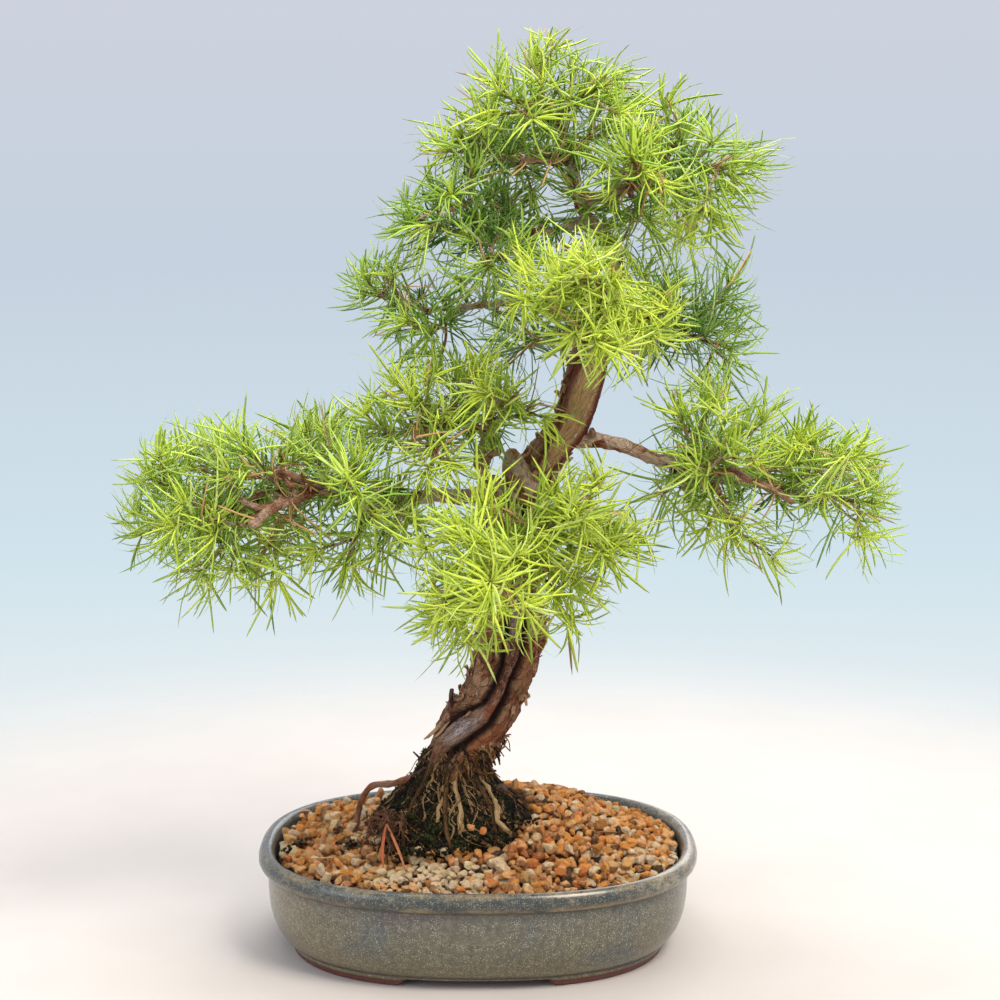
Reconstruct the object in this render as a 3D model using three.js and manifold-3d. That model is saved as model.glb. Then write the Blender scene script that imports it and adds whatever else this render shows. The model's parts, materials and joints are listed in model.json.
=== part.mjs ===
// European larch grown as a bonsai in an oval glazed pot, in millimetres, +Z up.
// Places are measured from the middle of the pot at the level of the surface it stands on:
// X runs along the pot, Y away from the viewer. The whole group is then moved so that the
// origin lies under the middle of the finished object.
import * as THREE from "three";
import { mergeVertices } from "three/addons/utils/BufferGeometryUtils.js";
import Module from "manifold-3d";

const wasm = await Module();
wasm.setup();

// Driving dimensions of the pot. Radii are along its length; its width is OVAL times as much.
const POT_HALF_LENGTH = 100;
// The oval is fuller than an ellipse: at power 2 it would be one.
const OVAL = 0.8;
const OVAL_POWER = 2.45;
const POT_SEGMENTS = 44;
const FOOT_HEIGHT = 4;
const FOOT_INNER_RADIUS = 77;
const FOOT_OUTER_RADIUS = 85;
const FOOT_SLOPE = 5;
const FLOOR_TOP = 10;
const FOOT_GAP_LONG_SIDE = 60;
const FOOT_GAP_END = 30;
const DRAIN_HOLE_RADIUS = 7;
const DRAIN_HOLE_X = 42;
const SCREEN_SIDE = 27;
const SCREEN_THICKNESS = 1.2;

// Driving dimensions of the soil and of the mound of old roots that the tree stands on.
const SOIL_EDGE_HEIGHT = 43;
const SOIL_RADIUS = 90.9;
const SOIL_RINGS = 13;
const GRANULE_RELIEF = 1.5;
const MOUND_CENTRE_X = -12;
const MOUND_WIDTH_SHARE = 0.92;

// Driving dimensions of the foliage.
const NEEDLE_LENGTH = 23;
const NEEDLE_RADIUS = 0.62;
const NEEDLE_SPACING = 3.8;
const TWIG_RADIUS = 1.35;
const BARE_SHARE = 0.2;
const TWIG_BOW = 0.05;

// Touching pieces stay this far apart.
const GAP = 0.35;
const GOLDEN_ANGLE = Math.PI * (3 - Math.sqrt(5));

// The stem: centre points from the root mound to the leader, each with its radius.
const STEM = [
  [-9, 0, 58, 15],
  [-9, 0, 80, 15],
  [-4, 0, 95, 15.2],
  [5, -1, 109, 14.4],
  [12, -2, 130, 13.4],
  [15, -2, 154, 13],
  [16, -2, 179, 12],
  [18, -1, 195, 11.2],
  [22, -1, 208, 10.2],
  [28, 0, 219, 9],
  [36, 0, 231, 8],
  [41, 0, 240, 7.8],
  [46, 0, 255, 7.9],
  [50, 0, 272, 7.2],
  [54, 0, 286, 5.6],
  [61, 0, 305, 4],
  [57, 0, 319, 3.6],
  [46, 0, 332, 3.2],
  [42, 0, 346, 2.8],
  [37, 0, 365, 2.3],
  [29, -2, 377, 1.9],
];

// The woody branches: centre points outwards from the stem, and the radius at foot and end.
const BRANCHES = {
  stub: {
    points: [[23, -2, 203], [19, -6, 215], [14, -7, 227]],
    radii: [7.6, 4],
  },
  left: {
    points: [
      [18, 0, 202], [0, -5, 205], [-25, -10, 206], [-48, -12, 203],
      [-66, -15, 211], [-82, -18, 208], [-100, -20, 204], [-124, -18, 199],
    ],
    radii: [5, 1.6],
  },
  upper_left: {
    points: [
      [20, -2, 204], [6, -14, 213], [1, -20, 223],
      [4, -20, 235], [-10, -21, 241], [-26, -22, 237],
    ],
    radii: [4, 1.5],
  },
  front: {
    points: [[16, -4, 184], [15, -25, 187], [14, -45, 191], [11, -68, 195]],
    radii: [3.8, 1.8],
  },
  right: {
    points: [
      [36, 0, 233], [62, 0, 228], [84, -6, 222],
      [105, -10, 216], [122, -11, 213], [146, -11, 206],
    ],
    radii: [3.4, 1.6],
  },
  mid_left: {
    points: [[52, 1, 280], [36, 9, 285], [14, 10, 290], [-4, 8, 289], [-22, 4, 288]],
    radii: [2.6, 1.4],
  },
  upper: {
    points: [[50, 0, 327], [30, 0, 323], [13, -4, 321], [-3, -8, 321]],
    radii: [2.8, 1.4],
  },
  apex_left: {
    points: [[40, 0, 354], [27, -4, 354], [13, -8, 354]],
    radii: [2.2, 1.4],
  },
  upper_right: {
    points: [[44, 0, 334], [56, -5, 338], [70, -10, 346], [84, -14, 353]],
    radii: [2.8, 1.4],
  },
  back_right: {
    points: [[53, 2, 277], [66, 15, 269], [77, 30, 270], [93, 44, 275]],
    radii: [3.4, 1.5],
  },
  middle: {
    points: [[55, -2, 288], [52, -24, 293], [48, -48, 297]],
    radii: [2.8, 1.6],
  },
  back_left: {
    points: [[50, 4, 273], [40, 24, 272], [30, 38, 270]],
    radii: [2.6, 1.5],
  },
};

// The leafy sprays. Each leaves its branch, or the leader of the stem, at a share of the
// branch's length, and ends at its tip.
const SPRAYS = [
  ["left", 1.0, [-147, -15, 191]],
  ["left", 0.95, [-141, -24, 217]],
  ["left", 0.86, [-127, 8, 226]],
  ["left", 0.84, [-129, -47, 200]],
  ["left", 0.78, [-119, -28, 177]],
  ["left", 0.7, [-97, -36, 230]],
  ["left", 0.66, [-98, 10, 176]],
  ["left", 0.58, [-80, 16, 229]],
  ["left", 0.52, [-55, -50, 221]],
  ["left", 0.46, [-57, -24, 180]],
  ["left", 0.36, [-37, 22, 186]],
  ["upper_left", 1.0, [-46, -18, 235]],
  ["upper_left", 0.88, [-27, -34, 253]],
  ["upper_left", 0.72, [-8, -6, 257]],
  ["upper_left", 0.62, [14, -42, 254]],
  ["upper_left", 0.84, [-20, -52, 227]],
  ["front", 1.0, [6, -98, 187]],
  ["front", 0.92, [-5, -84, 205]],
  ["front", 0.84, [39, -74, 210]],
  ["front", 0.7, [57, -50, 194]],
  ["front", 0.76, [-12, -66, 166]],
  ["front", 0.56, [33, -52, 174]],
  ["right", 0.5, [103, -14, 247]],
  ["right", 0.56, [108, -46, 234]],
  ["right", 0.62, [112, -22, 193]],
  ["right", 0.76, [143, 8, 225]],
  ["right", 1.0, [173, -12, 204]],
  ["right", 0.94, [160, -30, 228]],
  ["right", 0.46, [97, 18, 199]],
  ["mid_left", 1.0, [-48, 0, 295]],
  ["mid_left", 0.86, [-20, -14, 279]],
  ["upper", 1.0, [-27, -10, 329]],
  ["upper", 0.86, [-10, -24, 339]],
  ["upper", 0.72, [12, 14, 335]],
  ["upper", 0.8, [5, -24, 310]],
  ["leader", 1.0, [25, -5, 393]],
  ["leader", 0.975, [51, -12, 385]],
  ["leader", 0.955, [10, -18, 382]],
  ["leader", 0.93, [60, 18, 373]],
  ["apex_left", 1.0, [-6, -13, 363]],
  ["apex_left", 0.7, [13, 20, 362]],
  ["upper_right", 1.0, [107, -27, 351]],
  ["upper_right", 0.9, [90, -6, 366]],
  ["upper_right", 0.62, [65, -43, 357]],
  ["upper_right", 0.8, [101, -12, 330]],
  ["upper_right", 0.5, [76, 14, 327]],
  ["back_right", 1.0, [112, 58, 286]],
  ["back_right", 0.86, [115, 42, 266]],
  ["back_right", 0.62, [84, 52, 290]],
  ["middle", 1.0, [45, -82, 312]],
  ["middle", 0.86, [21, -62, 298]],
  ["middle", 0.76, [50, -86, 284]],
  ["middle", 0.62, [73, -56, 285]],
  ["back_left", 1.0, [14, 58, 264]],
];

// The exposed roots, from the foot of the stem down the mound: bearing round the mound in
// degrees (0 is +X, 90 is +Y), how far it swings on the way, and its radius at the top.
const ROOTS = [
  [-168, 8, 2.5],
  [-122, -10, 1.9],
  [-88, -8, 2.2],
  [-60, 10, 1.8],
  [-36, -12, 2],
  [25, 12, 2.2],
  [70, -14, 2],
  [152, -10, 2.1],
];

// The first root leaves the mound and arches over to the soil beside it.
const LEFT_ROOT = [
  [-27, -2, 77],
  [-38, -4, 73],
  [-48, -6, 71],
  [-53, -10, 64],
  [-57, -14, 54],
  [-59, -17, 38],
];

const COLOURS = {
  glaze: ["#5d6b66", 0.3],
  mesh: ["#2b2b2b", 0.6],
  granules: ["#b98755", 0.95],
  peat: ["#2f2a1a", 1],
  bark: ["#6b4430", 0.9],
  foliage: ["#8dbb35", 0.6],
};

// Numbers from 0 to 1 that come out the same every time.
function randomFrom(seed) {
  let state = seed >>> 0;
  return () => {
    state = (Math.imul(state, 1664525) + 1013904223) >>> 0;
    return state / 4294967296;
  };
}

// A closed geometry as a solid, with its doubled vertices merged and collapsed faces dropped.
function solidOf(geometry) {
  const bare = geometry.index ? geometry.toNonIndexed() : geometry.clone();
  bare.deleteAttribute("normal");
  bare.deleteAttribute("uv");
  const merged = mergeVertices(bare, 1e-4);
  const corners = merged.index.array;
  const kept = [];
  for (let i = 0; i < corners.length; i += 3) {
    const [a, b, c] = corners.subarray(i, i + 3);
    if (a !== b && b !== c && a !== c) kept.push(a, b, c);
  }
  return new wasm.Manifold(
    new wasm.Mesh({
      numProp: 3,
      vertProperties: merged.attributes.position.array,
      triVerts: new Uint32Array(kept),
    }),
  );
}

// A solid as a named mesh.
function meshOf(name, solid, colour) {
  const { numProp, numVert, vertProperties, triVerts } = solid.getMesh();
  const positions = new Float32Array(numVert * 3);
  for (let i = 0; i < numVert; i++) {
    positions.set(vertProperties.subarray(i * numProp, i * numProp + 3), i * 3);
  }
  const geometry = new THREE.BufferGeometry()
    .setAttribute("position", new THREE.BufferAttribute(positions, 3))
    .setIndex(new THREE.BufferAttribute(triVerts, 1));
  geometry.computeVertexNormals();
  const [color, roughness] = COLOURS[colour];
  const material = new THREE.MeshStandardMaterial({ color, roughness, metalness: 0 });
  const mesh = new THREE.Mesh(geometry, material);
  mesh.name = name;
  return mesh;
}

// The largest of the bodies that a cut leaves.
function largestBody(solid) {
  const bodies = solid.decompose();
  return bodies.reduce((a, b) => (a.volume() > b.volume() ? a : b));
}

// How far the pot's oval stands out past an ellipse at an angle round it.
function fullness(angle) {
  const [across, along] = [Math.abs(Math.cos(angle)), Math.abs(Math.sin(angle))];
  return (across ** OVAL_POWER + along ** OVAL_POWER) ** (-1 / OVAL_POWER);
}

// A closed round profile turned about Z.
function turned(profile, segments) {
  const points = profile.map(([radius, height]) => new THREE.Vector2(radius, height));
  return new THREE.LatheGeometry(points, segments).rotateX(Math.PI / 2);
}

// A closed profile turned about Z and drawn to the pot's oval.
function ovalTurned(profile, segments) {
  const geometry = turned(profile, segments);
  const position = geometry.attributes.position;
  for (let i = 0; i < position.count; i++) {
    const stretch = fullness(Math.atan2(position.getY(i), position.getX(i)));
    position.setX(i, position.getX(i) * stretch);
    position.setY(i, position.getY(i) * stretch * OVAL);
  }
  return geometry;
}

// A flat outline in X and Z, drawn out along Y by the given depth, centred on Y = 0.
function drawnOut(outline, depth) {
  const shape = new THREE.Shape(outline.map(([x, z]) => new THREE.Vector2(x, z)));
  return new THREE.ExtrudeGeometry(shape, { depth, bevelEnabled: false })
    .translate(0, 0, -depth / 2)
    .rotateX(Math.PI / 2);
}

// A cylinder of unit size bent along a curve. radiusAt(t, angle) gives the radius at each place.
function bentCylinder(curve, radiusAt, sides, steps) {
  const geometry = new THREE.CylinderGeometry(1, 1, 1, sides, steps);
  const frames = curve.computeFrenetFrames(steps);
  const position = geometry.attributes.position;
  const point = new THREE.Vector3();
  for (let i = 0; i < position.count; i++) {
    const [x, y, z] = [position.getX(i), position.getY(i), position.getZ(i)];
    const step = Math.round((0.5 - y) * steps);
    const radius = radiusAt(step / steps, Math.atan2(z, x));
    curve.getPointAt(step / steps, point);
    point.addScaledVector(frames.normals[step], x * radius);
    point.addScaledVector(frames.binormals[step], z * radius);
    position.setXYZ(i, point.x, point.y, point.z);
  }
  return geometry;
}

function curveThrough(points) {
  return new THREE.CatmullRomCurve3(points.map(([x, y, z]) => new THREE.Vector3(x, y, z)));
}

// The radius at a share t of the length of a chain of points that each state their radius.
function radiusAlong(points, t) {
  const lengths = [0];
  for (let i = 1; i < points.length; i++) {
    const step = Math.hypot(...[0, 1, 2].map((k) => points[i][k] - points[i - 1][k]));
    lengths.push(lengths[i - 1] + step);
  }
  const along = t * lengths.at(-1);
  const next = Math.max(1, lengths.findIndex((length) => length >= along - 1e-6));
  const share = (along - lengths[next - 1]) / (lengths[next] - lengths[next - 1]);
  return THREE.MathUtils.lerp(points[next - 1][3], points[next][3], share);
}

// The pot: a rolled lip, a bellied wall, a flat floor and a foot ring, cut into four low
// feet and bored with two drain holes.
function potSolid() {
  const body = solidOf(
    ovalTurned(
      [
        [0, FOOT_HEIGHT],
        [FOOT_INNER_RADIUS, FOOT_HEIGHT],
        [FOOT_INNER_RADIUS + 1, 0],
        [FOOT_OUTER_RADIUS, 0],
        [FOOT_OUTER_RADIUS + 1.5, FOOT_HEIGHT],
        [90.5, 9],
        [94, 15.5],
        [95.5, 25],
        [95.6, 37.5],
        [98.6, 39],
        [POT_HALF_LENGTH, 42],
        [99.2, 45],
        [96.6, 46.3],
        [93.6, 45.6],
        [91.8, 42],
        [89.8, 26],
        [86.5, 14.5],
        [78, FLOOR_TOP],
        [0, FLOOR_TOP],
      ],
      POT_SEGMENTS,
    ),
  );
  const slot = (gap, depth) =>
    drawnOut(
      [
        [-gap / 2 - FOOT_SLOPE, -1],
        [gap / 2 + FOOT_SLOPE, -1],
        [gap / 2, FOOT_HEIGHT],
        [-gap / 2, FOOT_HEIGHT],
      ],
      depth,
    );
  const slots = [
    slot(FOOT_GAP_LONG_SIDE, 2.2 * POT_HALF_LENGTH),
    slot(FOOT_GAP_END, 2.2 * POT_HALF_LENGTH).rotateZ(Math.PI / 2),
  ];
  const holes = [-DRAIN_HOLE_X, DRAIN_HOLE_X].map((x) =>
    new THREE.CylinderGeometry(DRAIN_HOLE_RADIUS, DRAIN_HOLE_RADIUS, 20, 16)
      .rotateX(Math.PI / 2)
      .translate(x, 0, FLOOR_TOP / 2),
  );
  return [...slots, ...holes].reduce((pot, cut) => pot.subtract(solidOf(cut)), body);
}

// A square plate over a drain hole, open in a grid so that water leaves and soil stays.
function screenSolid(x) {
  const openings = 3;
  const pitch = SCREEN_SIDE / (openings + 0.6);
  const opening = pitch * 0.62;
  const middle = FLOOR_TOP + GAP + SCREEN_THICKNESS / 2;
  let plate = solidOf(new THREE.BoxGeometry(SCREEN_SIDE, SCREEN_SIDE, SCREEN_THICKNESS));
  for (let i = 0; i < openings; i++) {
    for (let j = 0; j < openings; j++) {
      const hole = new THREE.BoxGeometry(opening, opening, 2 * SCREEN_THICKNESS);
      const centre = (openings - 1) / 2;
      hole.translate((i - centre) * pitch, (j - centre) * pitch, 0);
      plate = plate.subtract(solidOf(hole));
    }
  }
  return plate.translate([x, 0, middle]);
}

// The height of the soil without its granules: highest behind the stem, low at the wall.
function soilHeight(x, y) {
  const across = (x - 16) / 46;
  const back = (y - 18) / 34;
  const out = Math.min(1, Math.hypot(x, y / OVAL) / SOIL_RADIUS);
  const rise = 20 * (1 - out ** 5);
  return SOIL_EDGE_HEIGHT + rise * Math.exp(-(across * across + back * back) / 2);
}

// The soil as one body: rings of vertices on the oval, raised and lowered as granules, over a
// wall and a floor that follow the pot's inside.
function soilGeometry() {
  const random = randomFrom(7);
  const wall = [
    [SOIL_RADIUS, SOIL_EDGE_HEIGHT],
    [88.8, 27],
    [85, 15],
    [77, FLOOR_TOP + GAP],
  ];
  const vertices = [];
  const faces = [];
  const ringStart = [];
  for (let ring = 0; ring <= SOIL_RINGS; ring++) {
    ringStart.push(vertices.length);
    const count = Math.max(1, 6 * ring);
    const radius = (SOIL_RADIUS * ring) / SOIL_RINGS;
    for (let i = 0; i < count; i++) {
      const inside = ring < SOIL_RINGS && ring > 0;
      const shift = inside ? (random() - 0.5) * 2.4 : 0;
      const angle = (2 * Math.PI * i) / count + (inside ? (random() - 0.5) * (1.6 / ring) * 0.4 : 0);
      const reach = (radius + shift) * fullness(angle);
      const x = reach * Math.cos(angle);
      const y = reach * Math.sin(angle) * OVAL;
      const relief = inside ? (random() - 0.5) * 2 * GRANULE_RELIEF : -GRANULE_RELIEF;
      vertices.push([x, y, soilHeight(x, y) + relief]);
    }
  }
  for (let ring = 1; ring <= SOIL_RINGS; ring++) {
    const [inner, outer] = [ringStart[ring - 1], ringStart[ring]];
    const [innerCount, outerCount] = [Math.max(1, 6 * (ring - 1)), 6 * ring];
    for (let sector = 0; sector < 6; sector++) {
      for (let i = 0; i < ring; i++) {
        const a = outer + ((sector * ring + i) % outerCount);
        const b = outer + ((sector * ring + i + 1) % outerCount);
        const c = inner + ((sector * (ring - 1) + i) % innerCount);
        faces.push([a, b, c]);
        if (i < ring - 1) faces.push([b, inner + ((sector * (ring - 1) + i + 1) % innerCount), c]);
      }
    }
  }
  const around = 6 * SOIL_RINGS;
  let upper = ringStart[SOIL_RINGS];
  for (const [radius, height] of wall.slice(1)) {
    const lower = vertices.length;
    for (let i = 0; i < around; i++) {
      const angle = (2 * Math.PI * i) / around;
      const reach = radius * fullness(angle);
      vertices.push([reach * Math.cos(angle), reach * Math.sin(angle) * OVAL, height]);
      const next = (i + 1) % around;
      faces.push([upper + i, lower + i, upper + next], [upper + next, lower + i, lower + next]);
    }
    upper = lower;
  }
  const centre = vertices.length;
  vertices.push([0, 0, FLOOR_TOP + GAP]);
  for (let i = 0; i < around; i++) faces.push([centre, upper + ((i + 1) % around), upper + i]);
  const geometry = new THREE.BufferGeometry();
  geometry.setAttribute("position", new THREE.Float32BufferAttribute(vertices.flat(), 3));
  geometry.setIndex(faces.flat());
  return geometry;
}

// The mound of peat and fine roots: its radius at each height, above and below the soil.
const MOUND_PROFILE = [
  [0, 21],
  [28, 24],
  [40, 44],
  [36, 56],
  [28.5, 65],
  [20.5, 73],
  [16, 79],
  [13, 86],
  [0, 87],
];

function moundRadius(height) {
  const next = MOUND_PROFILE.findIndex(([, z]) => z >= height);
  const [[r0, z0], [r1, z1]] = [MOUND_PROFILE[next - 1], MOUND_PROFILE[next]];
  return THREE.MathUtils.lerp(r0, r1, (height - z0) / (z1 - z0));
}

// The mound with a rough surface. grow moves the surface outwards.
function moundGeometry(grow = 0) {
  const profile = MOUND_PROFILE.map(([radius, height]) => [radius ? radius + grow : 0, height]);
  profile[0][1] -= grow;
  profile.at(-1)[1] += grow;
  const geometry = turned(profile, 18).scale(1, MOUND_WIDTH_SHARE, 1);
  const position = geometry.attributes.position;
  for (let i = 0; i < position.count; i++) {
    const [x, y, z] = [position.getX(i), position.getY(i), position.getZ(i)];
    const angle = Math.atan2(y, x);
    const rough = 1 + 0.05 * Math.sin(5 * angle + z) + 0.035 * Math.sin(11 * angle - 0.6 * z);
    position.setXYZ(i, x * rough + MOUND_CENTRE_X, y * rough, z);
  }
  return geometry;
}

// The stem's section: two strands that wind round it, with bark plates raised on them.
function barkRadius(t, angle) {
  const fade = 1 - THREE.MathUtils.smoothstep(t, 0.55, 0.75);
  const strands = 0.09 * Math.cos(2 * angle + 7 * t);
  const plates = 0.055 * Math.cos(7 * angle - 9 * t) * (0.6 + 0.4 * Math.cos(40 * t));
  return 1 + fade * (strands + plates);
}

function stemLimb(grow = 0) {
  const curve = curveThrough(STEM);
  const radiusAt = (t, angle) => radiusAlong(STEM, t) * barkRadius(t, angle) + grow;
  return { name: "leader", curve, radiusAt, sides: 12, steps: 28 };
}

function branchLimb(name, grow = 0) {
  const { points, radii } = BRANCHES[name];
  const curve = curveThrough(points);
  const knots = 0.12;
  const radiusAt = (t, angle) => {
    const bumps = 1 + knots * Math.cos(3 * angle + 11 * t * points.length);
    return THREE.MathUtils.lerp(radii[0], radii[1], t) * bumps + grow;
  };
  return { name, curve, radiusAt, sides: 5, steps: points.length + 3 };
}

// A root: from inside the foot of the stem, half sunk down the mound, and into the soil.
function rootLimb([bearing, swing, radius], index, grow = 0) {
  const heights = [93, 84, 76, 66, 56, 47, 40];
  const points = heights.map((height, i) => {
    const turn = swing * Math.sin((i / (heights.length - 1)) * Math.PI * 1.3);
    const angle = THREE.MathUtils.degToRad(bearing + turn);
    const reach = i === 0 ? 6 : moundRadius(height) + (i === 6 ? -2 : 0.3);
    return [
      MOUND_CENTRE_X + reach * Math.cos(angle),
      reach * Math.sin(angle) * MOUND_WIDTH_SHARE,
      height,
    ];
  });
  if (index === 0) {
    points.splice(1, 6, ...LEFT_ROOT);
  }
  const curve = curveThrough(points);
  const radiusAt = (t) => radius * (1 - 0.45 * t) + grow;
  return { name: `root_${index}`, curve, radiusAt, sides: 4, steps: 7 };
}

function woodLimbs(grow = 0) {
  return [
    stemLimb(grow),
    ...Object.keys(BRANCHES).map((name) => branchLimb(name, grow)),
    ...ROOTS.map((root, i) => rootLimb(root, i, grow)),
  ];
}

function woodSolid(grow = 0) {
  const solids = woodLimbs(grow).map(({ curve, radiusAt, sides, steps }) =>
    solidOf(bentCylinder(curve, radiusAt, sides, steps)),
  );
  return wasm.Manifold.union(solids);
}

// The least distance between two straight pieces, each from its first to its second point.
function segmentDistance([p1, q1], [p2, q2]) {
  const d1 = q1.clone().sub(p1);
  const d2 = q2.clone().sub(p2);
  const r = p1.clone().sub(p2);
  const [a, e, b, c, f] = [d1.dot(d1), d2.dot(d2), d1.dot(d2), d1.dot(r), d2.dot(r)];
  const denominator = a * e - b * b;
  const clamp = (value) => THREE.MathUtils.clamp(value, 0, 1);
  let s = denominator > 1e-9 ? clamp((b * f - c * e) / denominator) : 0;
  let t = (b * s + f) / e;
  if (t < 0 || t > 1) {
    t = clamp(t);
    s = clamp((b * t - c) / a);
  }
  return p1.clone().addScaledVector(d1, s).distanceTo(p2.clone().addScaledVector(d2, t));
}

// Straight pieces along a curve, with the radius that keeps others off it.
function piecesAlong(curve, radiusAt, count, owner) {
  const points = curve.getSpacedPoints(count);
  return points.slice(1).map((point, i) => ({
    owner,
    ends: [points[i], point],
    radius: Math.max(radiusAt(i / count, 0), radiusAt((i + 1) / count, 0)),
  }));
}

// A spray's twig: a gently bowed curve from its place on the branch to its tip.
function twigCurve([branch, share, tip], limbs, index) {
  const limb = limbs.find(({ name }) => name === branch);
  const start = limb.curve.getPointAt(share);
  const end = new THREE.Vector3(...tip);
  const bow = (((index * 7) % 5) - 1.5) * TWIG_BOW * start.distanceTo(end);
  const middle = start.clone().lerp(end, 0.5).add(new THREE.Vector3(0, 0, bow));
  return new THREE.QuadraticBezierCurve3(start, middle, end);
}

const twigRadius = (t) => TWIG_RADIUS * (1 - 0.2 * t);

// The needles of one twig: round it by the golden angle, leaning further forward towards the
// tip. One that would meet another piece is turned, and left out if no turn helps.
function needleSolids(curve, owner, taken, random) {
  const length = curve.getLength();
  const count = Math.round((length * (1 - BARE_SHARE)) / NEEDLE_SPACING) + 3;
  const frames = curve.computeFrenetFrames(count);
  const solids = [];
  for (let i = 0; i < count; i++) {
    const t = BARE_SHARE + (0.97 - BARE_SHARE) * ((i + 0.5) / count);
    const root = curve.getPointAt(t);
    const reach = NEEDLE_LENGTH * (0.85 + 0.25 * random());
    const lean = THREE.MathUtils.lerp(1.25, 0.5, t * t) + (random() - 0.5) * 0.3;
    for (let turn = 0; turn < 9; turn++) {
      const angle = i * GOLDEN_ANGLE + turn * 0.37;
      const tip = root
        .clone()
        .addScaledVector(frames.tangents[i], Math.cos(lean) * reach)
        .addScaledVector(frames.normals[i], Math.cos(angle) * Math.sin(lean) * reach)
        .addScaledVector(frames.binormals[i], Math.sin(angle) * Math.sin(lean) * reach);
      const piece = { owner, ends: [root, tip], radius: NEEDLE_RADIUS };
      const clash = taken.some(
        (other) =>
          other.owner !== owner &&
          segmentDistance(piece.ends, other.ends) < piece.radius + other.radius + 2 * GAP,
      );
      if (clash) continue;
      taken.push(piece);
      const cone = new THREE.ConeGeometry(NEEDLE_RADIUS, reach, 3, 1).translate(0, reach / 2, 0);
      const aim = tip.clone().sub(root).normalize();
      cone.applyQuaternion(new THREE.Quaternion().setFromUnitVectors(new THREE.Vector3(0, 1, 0), aim));
      cone.translate(root.x, root.y, root.z);
      solids.push(solidOf(cone));
      break;
    }
  }
  return solids;
}

// Every spray as one solid: a slim twig with its needles rooted in it, clear of the wood.
function spraySolids(grownWood) {
  const limbs = woodLimbs();
  const taken = limbs.flatMap(({ name, curve, radiusAt }) => piecesAlong(curve, radiusAt, 16, name));
  const twigs = SPRAYS.map((spray, index) => twigCurve(spray, limbs, index));
  twigs.forEach((twig, index) => taken.push(...piecesAlong(twig, twigRadius, 5, index)));
  return twigs.map((twig, index) => {
    const random = randomFrom(100 + index);
    const solids = [
      solidOf(bentCylinder(twig, twigRadius, 4, 2)),
      ...needleSolids(twig, index, taken, random),
    ];
    return largestBody(wasm.Manifold.union(solids).subtract(grownWood));
  });
}

const tree = new THREE.Group();
const grownWood = woodSolid(GAP);
const mound = solidOf(moundGeometry()).subtract(grownWood);
const screenX = [-DRAIN_HOLE_X, DRAIN_HOLE_X];
const soilCuts = [
  solidOf(moundGeometry(GAP)),
  grownWood,
  ...screenX.map((x) => {
    const side = SCREEN_SIDE + 2 * GAP;
    const box = new THREE.BoxGeometry(side, side, SCREEN_THICKNESS + 2 * GAP);
    return solidOf(box.translate(x, 0, FLOOR_TOP + GAP + SCREEN_THICKNESS / 2));
  }),
];
const soil = soilCuts.reduce((body, cut) => body.subtract(cut), solidOf(soilGeometry()));

tree.add(meshOf("pot", potSolid(), "glaze"));
screenX.forEach((x, i) => tree.add(meshOf(["screen_left", "screen_right"][i], screenSolid(x), "mesh")));
tree.add(meshOf("soil", largestBody(soil), "granules"));
tree.add(meshOf("root_mound", largestBody(mound), "peat"));
tree.add(meshOf("wood", woodSolid(), "bark"));
spraySolids(grownWood).forEach((solid, index) => {
  const number = String(index + 1).padStart(2, "0");
  tree.add(meshOf(`spray_${SPRAYS[index][0]}_${number}`, solid, "foliage"));
});

// The origin: under the middle of the whole object, on the surface that it stands on.
const bounds = new THREE.Box3().setFromObject(tree);
const centre = bounds.getCenter(new THREE.Vector3());
tree.position.set(-centre.x, -centre.y, -bounds.min.z);

const bonsai = new THREE.Group();
bonsai.add(tree);

export default bonsai;
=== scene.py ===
"""The looks of a European larch grown as a bonsai in an oval glazed pot.

Sizes are in millimetres from the middle of the pot, on the surface that it stands on: X runs
along the pot, Y away from the viewer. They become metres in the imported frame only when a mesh
is made.
"""

import json
import logging
import math
from dataclasses import dataclass, field
from enum import Enum

import bmesh
import bpy
import numpy as np
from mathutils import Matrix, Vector
from mathutils.bvhtree import BVHTree

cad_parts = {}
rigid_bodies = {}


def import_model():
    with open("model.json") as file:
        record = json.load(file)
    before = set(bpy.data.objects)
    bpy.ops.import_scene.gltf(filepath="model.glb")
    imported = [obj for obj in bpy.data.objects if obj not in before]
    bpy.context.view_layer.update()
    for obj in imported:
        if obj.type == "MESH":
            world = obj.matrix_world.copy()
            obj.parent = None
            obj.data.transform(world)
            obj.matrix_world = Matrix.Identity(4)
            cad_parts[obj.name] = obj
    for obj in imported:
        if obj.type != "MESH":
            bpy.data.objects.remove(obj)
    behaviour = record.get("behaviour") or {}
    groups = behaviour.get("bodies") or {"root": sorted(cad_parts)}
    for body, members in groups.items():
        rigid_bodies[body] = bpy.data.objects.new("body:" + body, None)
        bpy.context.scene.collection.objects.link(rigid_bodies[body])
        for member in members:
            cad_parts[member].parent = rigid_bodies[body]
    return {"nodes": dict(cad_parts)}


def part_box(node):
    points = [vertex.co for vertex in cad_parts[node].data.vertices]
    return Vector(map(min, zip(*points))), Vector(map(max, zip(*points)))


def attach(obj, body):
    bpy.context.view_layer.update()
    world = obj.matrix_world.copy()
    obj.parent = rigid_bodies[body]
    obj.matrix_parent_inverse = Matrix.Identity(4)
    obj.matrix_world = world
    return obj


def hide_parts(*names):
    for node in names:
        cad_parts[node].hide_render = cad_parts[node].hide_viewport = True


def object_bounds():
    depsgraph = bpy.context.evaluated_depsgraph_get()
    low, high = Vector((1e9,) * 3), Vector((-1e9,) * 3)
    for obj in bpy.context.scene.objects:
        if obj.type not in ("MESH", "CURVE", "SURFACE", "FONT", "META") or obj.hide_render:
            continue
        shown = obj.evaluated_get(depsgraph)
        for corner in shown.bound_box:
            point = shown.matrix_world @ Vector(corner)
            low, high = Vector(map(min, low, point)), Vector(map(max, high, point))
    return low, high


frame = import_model()
CAD_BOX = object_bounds()

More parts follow.
